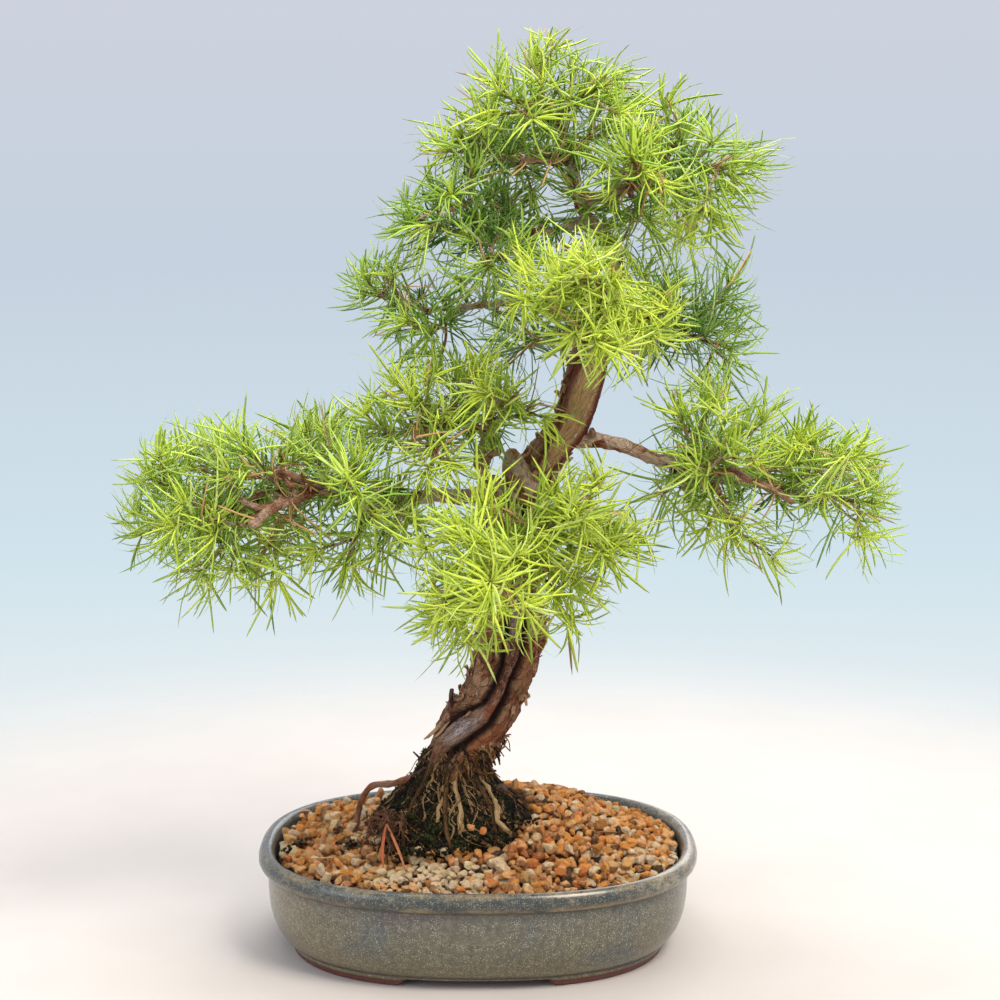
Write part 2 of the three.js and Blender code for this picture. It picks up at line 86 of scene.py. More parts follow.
Array = np.ndarray
Colour = tuple[float, float, float, float]
Faces = list[tuple[int, ...]]
Material = bpy.types.Material
Random = np.random.Generator
Socket = bpy.types.NodeSocket
GOLDEN_ANGLE = math.pi * (3 - math.sqrt(5))
POT_LOW, POT_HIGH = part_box("pot")
POT_PLACE = np.array([(POT_LOW.x + POT_HIGH.x) / 2, (POT_LOW.y + POT_HIGH.y) / 2, POT_LOW.z])
OVAL = 0.8
OVAL_POWER = 2.45
MOUND_X = -12.0
MOUND_WIDTH_SHARE = 0.92
CAMERA_PLACE = (10.03, -1059.0, 395.9)

LOG = logging.getLogger("larch")


# Numbers

def to_frame(points: Array) -> Array:
    """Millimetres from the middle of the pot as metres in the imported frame."""
    return np.asarray(points, float) * 0.001 + POT_PLACE


def colour(code: str) -> Colour:
    """A screen colour such as #a07040 as the linear colour that a shader takes."""
    parts = [int(code[i:i + 2], 16) / 255 for i in (1, 3, 5)]
    return (*(c / 12.92 if c <= 0.04045 else ((c + 0.055) / 1.055) ** 2.4 for c in parts), 1.0)


def unit(vectors: Array) -> Array:
    """Vectors of length 1 that point the same way."""
    return vectors / np.maximum(np.linalg.norm(vectors, axis=-1, keepdims=True), 1e-9)


def eased(low: float, high: float, values: Array) -> Array:
    """A smooth step from 0 at low to 1 at high."""
    share = np.clip((values - low) / (high - low), 0, 1)
    return share * share * (3 - 2 * share)


def bell(values: Array, middle: Array | float, width: Array | float) -> Array:
    """A bell curve of height 1."""
    return np.exp(-0.5 * ((values - middle) / width) ** 2)


def angle_apart(a: Array, b: Array | float) -> Array:
    """The signed difference of two angles in degrees, from -180 to 180."""
    return (a - b + 180) % 360 - 180


def once_round(count: int) -> Array:
    """Evenly spaced angles in radians, once round."""
    return np.arange(count) * 2 * math.pi / count


def hashed(cells: Array, seed: int) -> Array:
    """Draws a number from 0 to 1 for each whole-numbered cell.

    Args:
        cells: the cells' x, y and z.
        seed: which draw.

    Returns:
        The numbers, the same on each run.
    """
    x, y, z = (cells[..., i].astype(np.int64) for i in range(3))
    mixed = (x * 73856093) ^ (y * 19349663) ^ (z * 83492791) ^ (seed * 2654435761)
    mixed = ((mixed & 0xFFFFFFFF) ^ ((mixed & 0xFFFFFFFF) >> 13)) * 1274126177 & 0xFFFFFFFF
    return ((mixed ^ (mixed >> 16)) & 0xFFFFFF) / 0xFFFFFF


def soft_noise(points: Array, seed: int) -> Array:
    """Makes smooth noise with features about one unit wide.

    Args:
        points: where it is wanted.
        seed: which pattern.

    Returns:
        Values from -1 to 1.
    """
    base = np.floor(points)
    share = points - base
    share = share * share * (3 - 2 * share)
    total = np.zeros(points.shape[:-1])
    for corner in np.ndindex(2, 2, 2):
        weight = np.prod(np.where(np.array(corner) == 1, share, 1 - share), axis=-1)
        total += weight * hashed(base + np.array(corner), seed)
    return 2 * total - 1


def rough_noise(points: Array, seed: int, octaves: int = 4) -> Array:
    """Makes smooth noise with finer and finer noise on it.

    Args:
        points: where it is wanted.
        seed: which pattern.
        octaves: how many layers it has.

    Returns:
        Values from -1 to 1.
    """
    total = np.zeros(points.shape[:-1])
    for octave in range(octaves):
        total += soft_noise(points * 2.0 ** octave, seed + 17 * octave) * 0.5 ** octave
    return total / (2 - 0.5 ** (octaves - 1))


def wander(run: Array, row: float, seeds: tuple[int, ...], shift: float = 0.0) -> Array:
    """Smooth noise along a line, with a column for each seed."""
    return np.stack([soft_noise(np.stack([run + shift * k, run * 0 + row, run * 0], -1), seed)
                     for k, seed in enumerate(seeds)], -1)


def cell_gaps(points: Array, seed: int) -> tuple[Array, Array]:
    """Splits space into irregular cells.

    Args:
        points: places, in cells.
        seed: which pattern.

    Returns:
        The distance to the border of the own cell, and a number from 0 to 1 for the cell.
    """
    base = np.floor(points)
    nearest = np.full(points.shape[:-1], 9.0)
    second = nearest.copy()
    owner = np.zeros(points.shape[:-1])
    for offset in np.ndindex(3, 3, 3):
        cell = base + np.array(offset) - 1
        spot = cell + np.stack([hashed(cell, seed + k) for k in (0, 1, 2)], -1)
        distance = np.linalg.norm(points - spot, axis=-1)
        closer = distance < nearest
        second = np.where(closer, nearest, np.minimum(second, distance))
        owner = np.where(closer, hashed(cell, seed + 3), owner)
        nearest = np.where(closer, distance, nearest)
    return second - nearest, owner


# Lines

def smooth_line(points: list, count: int) -> Array:
    """Lays a smooth curve through points.

    Args:
        points: rows of x, y, z.
        count: how many places to give back.

    Returns:
        Evenly spaced places, with the first and last of the points at its ends.
    """
    given = np.array(points, float)
    held = np.vstack([2 * given[0] - given[1], given, 2 * given[-1] - given[-2]])
    t = np.linspace(0, 1, 41)[:, None]
    h = [2 * t**3 - 3 * t**2 + 1, t**3 - 2 * t**2 + t, -2 * t**3 + 3 * t**2, t**3 - t**2]
    pieces = []
    for i in range(len(given) - 1):
        p0, p1, p2, p3 = held[i:i + 4]
        d0, d1, d2 = (max(np.linalg.norm(b - a) ** 0.5, 1e-4) for a, b in ((p0, p1), (p1, p2), (p2, p3)))
        m1 = ((p1 - p0) / d0 - (p2 - p0) / (d0 + d1) + (p2 - p1) / d1) * d1
        m2 = ((p2 - p1) / d1 - (p3 - p1) / (d1 + d2) + (p3 - p2) / d2) * d1
        curve = h[0] * p1 + h[1] * m1 + h[2] * p2 + h[3] * m2
        pieces.append(curve[: -1 if i < len(given) - 2 else None])
    return evenly(np.vstack(pieces), count)


def evenly(line: Array, count: int) -> Array:
    """Places a line's points again, the same distance apart."""
    along = np.concatenate([[0], np.cumsum(np.linalg.norm(np.diff(line, axis=0), axis=1))])
    wanted = np.linspace(0, along[-1], count)
    return np.stack([np.interp(wanted, along, line[:, k]) for k in range(3)], -1)


def length_of(line: Array) -> float:
    """How long a line is."""
    return float(np.linalg.norm(np.diff(line, axis=0), axis=1).sum())


def stepped(line: Array, step: float, least: int) -> Array:
    """A line with its places about one step apart."""
    return evenly(line, max(least, round(length_of(line) / step)))


def bow_line(start: Array, middle: Array, end: Array, count: int) -> Array:
    """A line that bows from its start towards its middle point and on to its end."""
    t = np.linspace(0, 1, count)[:, None]
    return evenly((1 - t) ** 2 * start + 2 * t * (1 - t) * middle + t * t * end, count)


def at_share(line: Array, share: float) -> tuple[Array, Array]:
    """Finds a place on an evenly spaced line.

    Args:
        line: the line.
        share: how far along it the place is, from 0 to 1.

    Returns:
        The place, and the line's direction there.
    """
    spot = share * (len(line) - 1)
    low = min(int(spot), len(line) - 2)
    place = line[low] + (line[low + 1] - line[low]) * (spot - low)
    return place, unit(line[min(low + 3, len(line) - 1)] - line[max(low - 2, 0)])


def radial(ahead: Array, turn: Array | float, hint: tuple = (0.2, 0.5, 0.9)) -> Array:
    """Finds directions square to a line.

    Args:
        ahead: the line's direction.
        turn: the angles about it, in radians.
        hint: any direction apart from the line's. The angles start square to both.

    Returns:
        The directions.
    """
    first = unit(np.cross(ahead, hint))
    turn = np.asarray(turn)[..., None]
    return np.cos(turn) * first + np.sin(turn) * np.cross(ahead, first)


# Meshes

@dataclass
class Surface:
    """A mesh, with the numbers that its material reads at each of its points."""

    points: Array
    faces: Faces
    marks: dict[str, Array] = field(default_factory=dict)

    def marked(self, **marks: Array | float) -> "Surface":
        """The same mesh with more marks. A single number goes to every point."""
        for name, value in marks.items():
            self.marks[name] = np.full(len(self.points), value) if np.isscalar(value) else value
        return self

    def grained(self, **marks: Array | float) -> "Surface":
        """The same mesh with a grain that follows its places, and more marks."""
        return self.marked(grain=self.points * 1.0, **marks)


def joined(parts: list[Surface]) -> Surface:
    """Joins meshes into one.

    Args:
        parts: the meshes.

    Returns:
        One mesh. A mark that a mesh lacks is 0 on it.
    """
    names = {name: value.shape[1:] for part in parts for name, value in part.marks.items()}
    starts = np.cumsum([0] + [len(part.points) for part in parts])
    faces = [tuple(i + start for i in face)
             for part, start in zip(parts, starts.tolist()) for face in part.faces]
    marks = {name: np.concatenate([p.marks.get(name, np.zeros((len(p.points), *shape))) for p in parts])
             for name, shape in names.items()}
    return Surface(np.concatenate([p.points for p in parts]), faces, marks)


def mesh_of(name: str, surface: Surface, in_frame: bool = True, smooth: bool = True) -> bpy.types.Mesh:
    """Makes a Blender mesh.

    Args:
        name: the name of the mesh.
        surface: its points, faces and marks.
        in_frame: whether its points are places in the frame, and not a form of its own.
        smooth: whether it is shaded smooth.

    Returns:
        The mesh.
    """
    mesh = bpy.data.meshes.new(name)
    places = to_frame(surface.points) if in_frame else surface.points
    mesh.from_pydata(places.tolist(), [], surface.faces)
    for mark, values in surface.marks.items():
        wide = values.shape[1] if values.ndim > 1 else 1
        whole = values.dtype.kind == "i"
        kind, key = {1: ("INT" if whole else "FLOAT", "value"), 3: ("FLOAT_VECTOR", "vector"),
                     4: ("FLOAT_COLOR", "color")}[wide]
        data = mesh.attributes.new(mark, kind, "POINT").data
        data.foreach_set(key, values.astype(np.int32 if whole else np.float32).ravel())
    if smooth:
        mesh.shade_smooth()
    return mesh


def shown(name: str, mesh: bpy.types.Mesh, material: Material | None = None) -> bpy.types.Object:
    """Puts a mesh into the scene.

    Args:
        name: the name of its object.
        mesh: the mesh.
        material: its finish, if it doesn't have one yet.

    Returns:
        The object.
    """
    made = bpy.data.objects.new(name, mesh)
    bpy.context.scene.collection.objects.link(made)
    if material is not None:
        mesh.materials.clear()
        mesh.materials.append(material)
    return made


def settle(made: bpy.types.Object, slot: str, *nodes: str) -> bpy.types.Object:
    """Lets a piece ride on the part.

    Args:
        made: the piece.
        slot: the name of its finish; not used.
        *nodes: the CAD nodes that it stands for, which are hidden.

    Returns:
        The piece.
    """
    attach(made, "root")
    if nodes:
        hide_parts(*nodes)
    LOG.info("%s: %d triangles", made.name, sum(len(p.vertices) - 2 for p in made.data.polygons))
    return made


def piece(name: str, surface: Surface, finish: Material, slot: str, *nodes: str) -> bpy.types.Object:
    """Makes a finished piece from a mesh in the frame."""
    return settle(shown(name, mesh_of(name, surface), finish), slot, *nodes)


def evaluated(made: bpy.types.Object) -> bpy.types.Mesh:
    """A plain mesh of what an object's modifiers make."""
    graph = bpy.context.evaluated_depsgraph_get()
    return bpy.data.meshes.new_from_object(
        made.evaluated_get(graph), preserve_all_data_layers=True, depsgraph=graph)


def dress(node: str, finish: Material) -> None:
    """Gives a CAD node a finish."""
    frame["nodes"][node].data.materials.clear()
    frame["nodes"][node].data.materials.append(finish)


def sides_facing_viewer(line: Array) -> tuple[Array, Array]:
    """For each place of a line, the directions across it to the viewer and to the right."""
    tangents = unit(np.gradient(line, axis=0))
    viewer = np.array([0.0, -1.0, 0.0])
    out = unit(viewer - tangents * (tangents @ viewer)[:, None])
    return out, np.cross(tangents, out)


def sides_carried(line: Array) -> tuple[Array, Array]:
    """For each place of a line, two directions across it that don't twist along it."""
    tangents = unit(np.gradient(line, axis=0))
    first = np.array([0.0, -1.0, 0.0]) if abs(tangents[0][1]) < 0.8 else np.array([0.0, 0.0, 1.0])
    out = np.zeros_like(line)
    for i, tangent in enumerate(tangents):
        first = unit(first - tangent * (first @ tangent))
        out[i] = first
    return out, np.cross(tangents, out)


def skin_faces(rings: int, sides: int) -> Faces:
    """Lists the faces of a closed skin.

    Args:
        rings: how many rings of points it has.
        sides: how many points a ring has. Two more points close the first and last ring.

    Returns:
        The faces, all outwards.
    """
    faces: Faces = []
    for low in range(0, (rings - 1) * sides, sides):
        for j in range(sides):
            k = (j + 1) % sides
            faces.append((low + j, low + k, low + sides + k, low + sides + j))
    first, last, top = rings * sides, rings * sides + 1, (rings - 1) * sides
    for j in range(sides):
        k = (j + 1) % sides
        faces += [(first, k, j), (last, top + j, top + k)]
    return faces


def tube(line: Array, radius: Array, across: tuple[Array, Array] | None = None) -> Surface:
    """Makes a closed tube along a line.

    Args:
        line: places along it.
        radius: for each place, the radius at each angle.
        across: for each place, the directions at angle 0 and at 90 degrees.

    Returns:
        The tube, with rounded caps.
    """
    out, side = across or sides_carried(line)
    rings, sides = radius.shape
    angle = once_round(sides)
    spokes = out[:, None] * np.cos(angle)[None, :, None] + side[:, None] * np.sin(angle)[None, :, None]
    points = line[:, None] + spokes * radius[..., None]
    tangents = unit(np.gradient(line, axis=0))
    ends = [line[0] - tangents[0] * radius[0].mean() * 0.5, line[-1] + tangents[-1] * radius[-1].mean() * 0.5]
    return Surface(np.vstack([points.reshape(-1, 3), *ends]), skin_faces(rings, sides))


def with_ends(values: Array) -> Array:
    """A value for each place of a tube's skin as a list, with those of its two caps."""
    flat = values.reshape(-1, *values.shape[2:])
    return np.concatenate([flat, values[0].mean(0)[None], values[-1].mean(0)[None]])


def thread(points: list, radii: tuple[float, float], sides: int, step: float, **marks: float) -> Surface:
    """Makes a plain round tube that tapers.

    Args:
        points: rows of x, y, z that it passes through.
        radii: its radius at the start and at the end.
        sides: how many sides it has.
        step: the distance between its rings.
        **marks: the marks of its surface.

    Returns:
        The tube.
    """
    rough = smooth_line(points, 60)
    line = evenly(rough, max(3, round(length_of(rough) / step) + 1))
    return tube(line, np.linspace(*radii, len(line))[:, None] * np.ones(sides)).grained(**marks)


def ball(subdivisions: int) -> Surface:
    """A ball of radius 0.5 made of even triangles."""
    made = bpy.data.meshes.new("ball")
    work = bmesh.new()
    bmesh.ops.create_icosphere(work, subdivisions=subdivisions, radius=0.5)
    work.to_mesh(made)
    work.free()
    form = Surface(np.array([v.co[:] for v in made.vertices]), [tuple(p.vertices) for p in made.polygons])
    bpy.data.meshes.remove(made)
    return form


# Finishes

def feed(tree: bpy.types.NodeTree, socket: Socket, value: object) -> None:
    """Sets a socket to a value or a colour code, or links it where the value is another socket."""
    if isinstance(value, Socket):
        tree.links.new(value, socket)
    else:
        socket.default_value = colour(value) if isinstance(value, str) and value[0] == "#" else value


def node_in(tree: bpy.types.NodeTree, kind: str, inputs: dict, **settings: object) -> bpy.types.Node:
    """Adds a node to a tree.

    Args:
        tree: the tree.
        kind: the node's type.
        inputs: values or sockets for its inputs, by name or number.
        **settings: its other settings.

    Returns:
        The node.
    """
    node = tree.nodes.new(kind)
    for name, value in settings.items():
        setattr(node, name, value)
    for key, value in inputs.items():
        feed(tree, node.inputs[key], value)
    return node


class Recipe:
    """Builds the node tree of one material."""

    def __init__(self, name: str) -> None:
        """Starts a material with a plain shader."""
        self.material = bpy.data.materials.new(name)
        self.material.use_nodes = True
        self.tree = self.material.node_tree
        self.tree.nodes.clear()
        self.shader = self.step("ShaderNodeBsdfPrincipled", {})
        self.step("ShaderNodeOutputMaterial", {0: self.shader.outputs[0]})

    def step(self, kind: str, inputs: dict, **settings: object) -> bpy.types.Node:
        """Adds a node with its settings, and its inputs by name or number."""
        return node_in(self.tree, kind, inputs, **settings)

    def place(self) -> Socket:
        """The place on the object, in metres."""
        return self.step("ShaderNodeTexCoord", {}).outputs["Object"]

    def part(self, place: Socket, axis: str) -> Socket:
        """How far along an axis a place is, in metres."""
        return self.step("ShaderNodeSeparateXYZ", {0: place}).outputs[axis]

    def mark(self, name: str, part: str = "Fac") -> Socket:
        """A mark of the mesh, as a number (Fac), a Vector or a Color."""
        return self.step("ShaderNodeAttribute", {}, attribute_name=name).outputs[part]

    def stretched(self, place: Socket, up: float) -> Socket:
        """A place with its height scaled."""
        return self.step("ShaderNodeMapping", {"Vector": place, "Scale": (1.0, 1.0, up)}).outputs[0]

    def warped(self, place: Socket, scale: float, amount: float) -> Socket:
        """A place moved about at random by up to half the amount, so that patterns lose their order."""
        cloud = self.step("ShaderNodeTexNoise", {"Vector": place, "Scale": scale, "Detail": 3.0})
        inputs = {0: cloud.outputs["Color"], 1: (0.5, 0.5, 0.5)}
        centred = self.step("ShaderNodeVectorMath", inputs, operation="SUBTRACT")
        inputs = {0: centred.outputs[0], 1: (amount, amount, amount), 2: place}
        return self.step("ShaderNodeVectorMath", inputs, operation="MULTIPLY_ADD").outputs[0]

    def noise(self, place: Socket, scale: float, detail: float = 4, rough: float = 0.55,
              warp: float = 0.0) -> Socket:
        """Cloudy noise from 0 to 1."""
        inputs = {"Vector": place, "Scale": scale, "Detail": detail, "Roughness": rough, "Distortion": warp}
        return self.step("ShaderNodeTexNoise", inputs).outputs["Fac"]

    def cells(self, place: Socket, scale: float, feature: str = "F1") -> dict[str, Socket]:
        """Irregular cells, with the outputs Distance and Color."""
        return self.step("ShaderNodeTexVoronoi", {"Vector": place, "Scale": scale}, feature=feature).outputs

    def span(self, value: Socket, low: float, high: float, start: float = 0.0, end: float = 1.0) -> Socket:
        """A value from low to high carried over to start to end, smoothly and held at both."""
        inputs = {"Value": value, 1: low, 2: high, 3: start, 4: end}
        return self.step("ShaderNodeMapRange", inputs, interpolation_type="SMOOTHSTEP").outputs[0]

    def maths(self, operation: str, a: object, b: object = 0.0, hold: bool = False) -> Socket:
        """One step of arithmetic, held between 0 and 1 if asked."""
        return self.step("ShaderNodeMath", {0: a, 1: b}, operation=operation, use_clamp=hold).outputs[0]

    def times(self, a: object, b: object) -> Socket:
        """The product of two values."""
        return self.maths("MULTIPLY", a, b)

    def plus(self, a: object, b: object) -> Socket:
        """The sum of two values."""
        return self.maths("ADD", a, b)

    def less(self, a: object, b: object) -> Socket:
        """The first value without the second."""
        return self.maths("SUBTRACT", a, b)

    def blend(self, share: object, a: object, b: object) -> Socket:
        """Two colours mixed."""
        return self.step("ShaderNodeMix", {0: share, 6: a, 7: b}, data_type="RGBA").outputs[2]

    def over(self, under: object, top: object, value: Socket, low: float, high: float,
             most: float = 1.0) -> Socket:
        """A colour laid over another, from none at low to the most at high."""
        return self.blend(self.span(value, low, high, 0.0, most), under, top)

    def ramp(self, value: Socket, *stops: tuple[float, str]) -> Socket:
        """A colour for each value, between stops."""
        node = self.step("ShaderNodeValToRGB", {0: value})
        elements = node.color_ramp.elements
        while len(elements) < len(stops):
            elements.new(1.0)
        for element, (spot, tone) in zip(elements, stops):
            element.position = spot
            element.color = colour(tone)
        return node.outputs[0]

    def finish(self, tone: object, roughness: object, height: Socket | None, depth: float, strength: float,
               **constants: float) -> Material:
        """Ends the recipe.

        Args:
            tone: the base colour.
            roughness: a number or a socket.
            height: the fine relief, if it has one.
            depth: the depth of the relief in metres.
            strength: how strongly the relief shows.
            **constants: other inputs of the shader, with _ for each space.

        Returns:
            The material.
        """
        inputs = {"Base Color": tone, "Roughness": roughness}
        if height is not None:
            bump = self.step("ShaderNodeBump", {"Height": height, "Distance": depth, "Strength": strength})
            inputs["Normal"] = bump.outputs[0]
        inputs |= {name.replace("_", " "): value for name, value in constants.items()}
        for name, value in inputs.items():
            feed(self.tree, self.shader.inputs[name], value)
        return self.material


@dataclass(frozen=True)
class Glaze:
    """Grey-green glaze with cream specks, a blue lip, and bare red clay at the feet."""

    lip: str = "#3a403b"
    lip_light: str = "#897f66"
    lip_dark: str = "#18252b"
    speck_sizes: tuple = ((1000, 0.25), (760, 0.19), (1600, 0.42), (1350, 0.36))

    def wall(self, r: Recipe, place: Socket, cloud: Socket, fine: Socket) -> Socket:
        """Tones the wall, browner at the foot and bluer at the lip, with painted light on its left end.

        Args:
            r: the recipe.
            place: the place on the pot.
            cloud: broad noise.
            fine: fine noise.

        Returns:
            The wall's colour.
        """
        height = r.part(place, "Z")
        tone = r.ramp(r.times(height, 22.0), (0.08, "#675c3d"), (0.42, "#625e4b"), (0.85, "#5f5f52"))
        tone = r.over(tone, "#404e58", cloud, 0.52, 0.74, 0.8)
        streaks = r.noise(r.stretched(place, 3.0), 36, 4, 0.6)
        upper = r.span(height, 0.024, 0.036)
        tone = r.blend(r.times(r.span(streaks, 0.48, 0.68), upper), tone, "#594e4d")
        # Lighter and warmer towards the left end of the pot: painted light on that side.
        tone = r.over(tone, "#8f7a52", r.part(place, "X"), -0.05, -0.1, 0.3)
        tone = r.over(tone, "#3d3d36", fine, 0.45, 0.65, 0.5)
        return r.over(tone, "#8d8872", fine, 0.45, 0.35, 0.3)

    def rim(self, r: Recipe, place: Socket, fine: Socket) -> Socket:
        """Tones the lip, blue with runs of light glaze and worn edges, and painted light in runs on its right
        end.

        Args:
            r: the recipe.
            place: the place on the pot.
            fine: fine noise.

        Returns:
            The lip's colour.
        """
        run = r.noise(r.stretched(place, 3.0), 110, 6, 0.78, 0.6)
        tone = r.over(self.lip, self.lip_dark, run, 0.5, 0.66, 0.85)
        tone = r.over(tone, self.lip_light, run, 0.45, 0.3, 0.75)
        tone = r.blend(r.mark("worn"), tone, "#a08861")
        # Paler runs on the lip's right end: painted light on that side.
        pale = r.times(r.span(r.part(place, "X"), 0.045, 0.075), r.span(run, 0.42, 0.58, 0.1, 0.62))
        tone = r.blend(pale, tone, "#ac9f84")
        tone = r.over(tone, self.lip_dark, fine, 0.52, 0.64, 0.5)
        return r.over(tone, self.lip_light, fine, 0.46, 0.36, 0.4)

    def specks(self, r: Recipe, place: Socket) -> Socket:
        """Scatters cream specks of several sizes, fewer on the lip.

        Args:
            r: the recipe.
            place: the place on the pot.

        Returns:
            How much of a speck shows.
        """
        found = []
        for scale, widest in self.speck_sizes:
            grains = r.cells(place, scale)
            size = r.times(r.maths("POWER", grains["Color"], 1.6), widest)
            found.append(r.span(r.less(grains["Distance"], size), 0.04, -0.04))
        a, b, c, d = found
        speck = r.maths("MAXIMUM", r.maths("MAXIMUM", a, b), r.maths("MAXIMUM", c, d))
        fewer = r.less(1.0, r.times(r.mark("lip"), 0.3))
        return r.times(r.times(speck, fewer), 0.66)

    def material(self) -> Material:
        """Makes the glaze."""
        r = Recipe("speckled_glaze")
        place = r.place()
        cloud, fine = r.noise(place, 28, 5, 0.6, 0.6), r.noise(place, 420, 3, 0.7)
        tone = r.blend(r.mark("lip"), self.wall(r, place, cloud, fine), self.rim(r, place, fine))
        tone = r.blend(r.mark("inside"), tone, r.over("#22373f", self.lip_dark, cloud, 0.35, 0.7))
        speck = self.specks(r, place)
        tone = r.blend(speck, tone, "#c9c3ab")
        pit = r.span(r.cells(r.stretched(place, 1.3), 210)["Distance"], 0.13, 0.07)
        tone = r.blend(r.times(pit, 0.7), tone, "#1f1d19")
        # The grooves under the lip and above the feet are painted dark: painted shade in these creases.
        tone = r.blend(r.mark("groove"), tone, "#2b2a26")
        bare = r.mark("clay")
        tone = r.blend(bare, tone, r.blend(r.noise(place, 300, 4, 0.6), "#6e3a2a", "#4c2419"))
        shine = r.plus(r.span(speck, 0.0, 1.0, 0.3, 0.5), r.times(bare, 0.4))
        relief = r.less(r.plus(r.times(speck, 0.5), r.times(cloud, 0.8)), pit)
        return r.finish(tone, shine, relief, 0.00022, 0.8, Specular_IOR_Level=0.55, Coat_Weight=0.35,
                        Coat_Roughness=0.16)


@dataclass(frozen=True)
class Grains:
    """Dry granules of fired clay and pumice, each with its own tone."""

    dust: str = "#f3d6ac"
    stain: str = "#5b3418"

    def material(self) -> Material:
        """Makes the finish of the granules."""
        r = Recipe("fired_clay_granules")
        place = r.place()
        patches = r.noise(place, 520, 6, 0.72)
        tone = r.over(r.mark("tone", "Color"), self.dust, patches, 0.5, 0.68, 0.6)
        tone = r.over(tone, self.stain, patches, 0.46, 0.3, 0.44)
        pore = r.span(r.cells(place, 1500)["Distance"], 0.36, 0.16)
        tone = r.blend(r.times(pore, 0.16), tone, "#5b3a22")
        relief = r.less(r.plus(r.noise(place, 2600, 3, 0.7), patches), r.times(pore, 0.5))
        return r.finish(tone, 0.95, relief, 0.0014, 1.0, Specular_IOR_Level=0.2)


@dataclass(frozen=True)
class DarkSoil:
    """Damp dark soil between the granules."""

    damp: str = "#2a1c12"
    dry: str = "#6d4a2e"

    def material(self) -> Material:
        """Makes the soil's finish."""
        r = Recipe("damp_soil")
        place = r.place()
        grains = r.cells(place, 380)
        tone = r.blend(grains["Color"], self.damp, self.dry)
        tone = r.over(tone, self.damp, r.noise(place, 90, 5, 0.6), 0.4, 0.6)
        relief = r.plus(grains["Distance"], r.noise(place, 1500, 4, 0.7))
        return r.finish(tone, 0.95, relief, 0.0012, 1.0, Specular_IOR_Level=0.25)


@dataclass(frozen=True)
class Net:
    """Black plastic net over the drain holes, dusty with soil."""

    plastic: str = "#1c1c1c"
    dust: str = "#5c4632"

    def material(self) -> Material:
        """Makes the net's finish."""
        r = Recipe("plastic_net")
        dust = r.noise(r.place(), 260, 6, 0.7)
        tone = r.over(self.plastic, self.dust, dust, 0.45, 0.7)
        return r.finish(tone, r.span(dust, 0.4, 0.7, 0.4, 0.85), dust, 0.0002, 0.6)


@dataclass(frozen=True)
class Peat:
    """The dark mat of fine roots and peat, with moss in its damp places."""

    dark: str = "#080604"
    fibre: str = "#3d2a1b"
    moss: str = "#38451a"
    crumb: str = "#6a6038"

    def material(self) -> Material:
        """Makes the finish of the root mound."""
        r = Recipe("rooty_peat")
        place = r.place()
        strands = r.noise(r.warped(r.stretched(place, 0.3), 150, 0.004), 900, 5, 0.7, 0.8)
        tone = r.over(self.dark, self.fibre, strands, 0.5, 0.7)
        crumbs = r.noise(place, 620, 5, 0.7)
        tone = r.blend(r.times(r.mark("moss"), r.span(crumbs, 0.42, 0.62)), tone, self.moss)
        bits = r.span(r.cells(place, 700)["Distance"], 0.26, 0.14)
        tone = r.blend(r.times(bits, r.span(crumbs, 0.5, 0.62)), tone, self.crumb)
        tone = r.blend(r.mark("pale"), tone, "#7f6c44")
        relief = r.plus(strands, r.times(crumbs, 1.3))
        return r.finish(tone, 0.93, relief, 0.0016, 1.0, Specular_IOR_Level=0.25)


@dataclass(frozen=True)
class Moss:
    """Small cushions of moss leaves, paler at their tips."""

    deep: str = "#12160a"
    leaf: str = "#434f1d"
    pale: str = "#8f9048"

    def material(self) -> Material:
        """Makes the moss."""
        r = Recipe("moss_leaves")
        tone = r.ramp(r.mark("along"), (0.0, self.deep), (0.6, self.leaf), (1.0, self.pale))
        tone = r.over(tone, "#2f2417", r.mark("tint"), 0.2, 0.8, 0.85)
        flecks = r.noise(r.place(), 1600, 3, 0.7)
        tone = r.over(tone, "#8f8a52", flecks, 0.52, 0.8, 0.45)
        return r.finish(tone, 0.85, flecks, 0.0003, 0.7, Specular_IOR_Level=0.3)


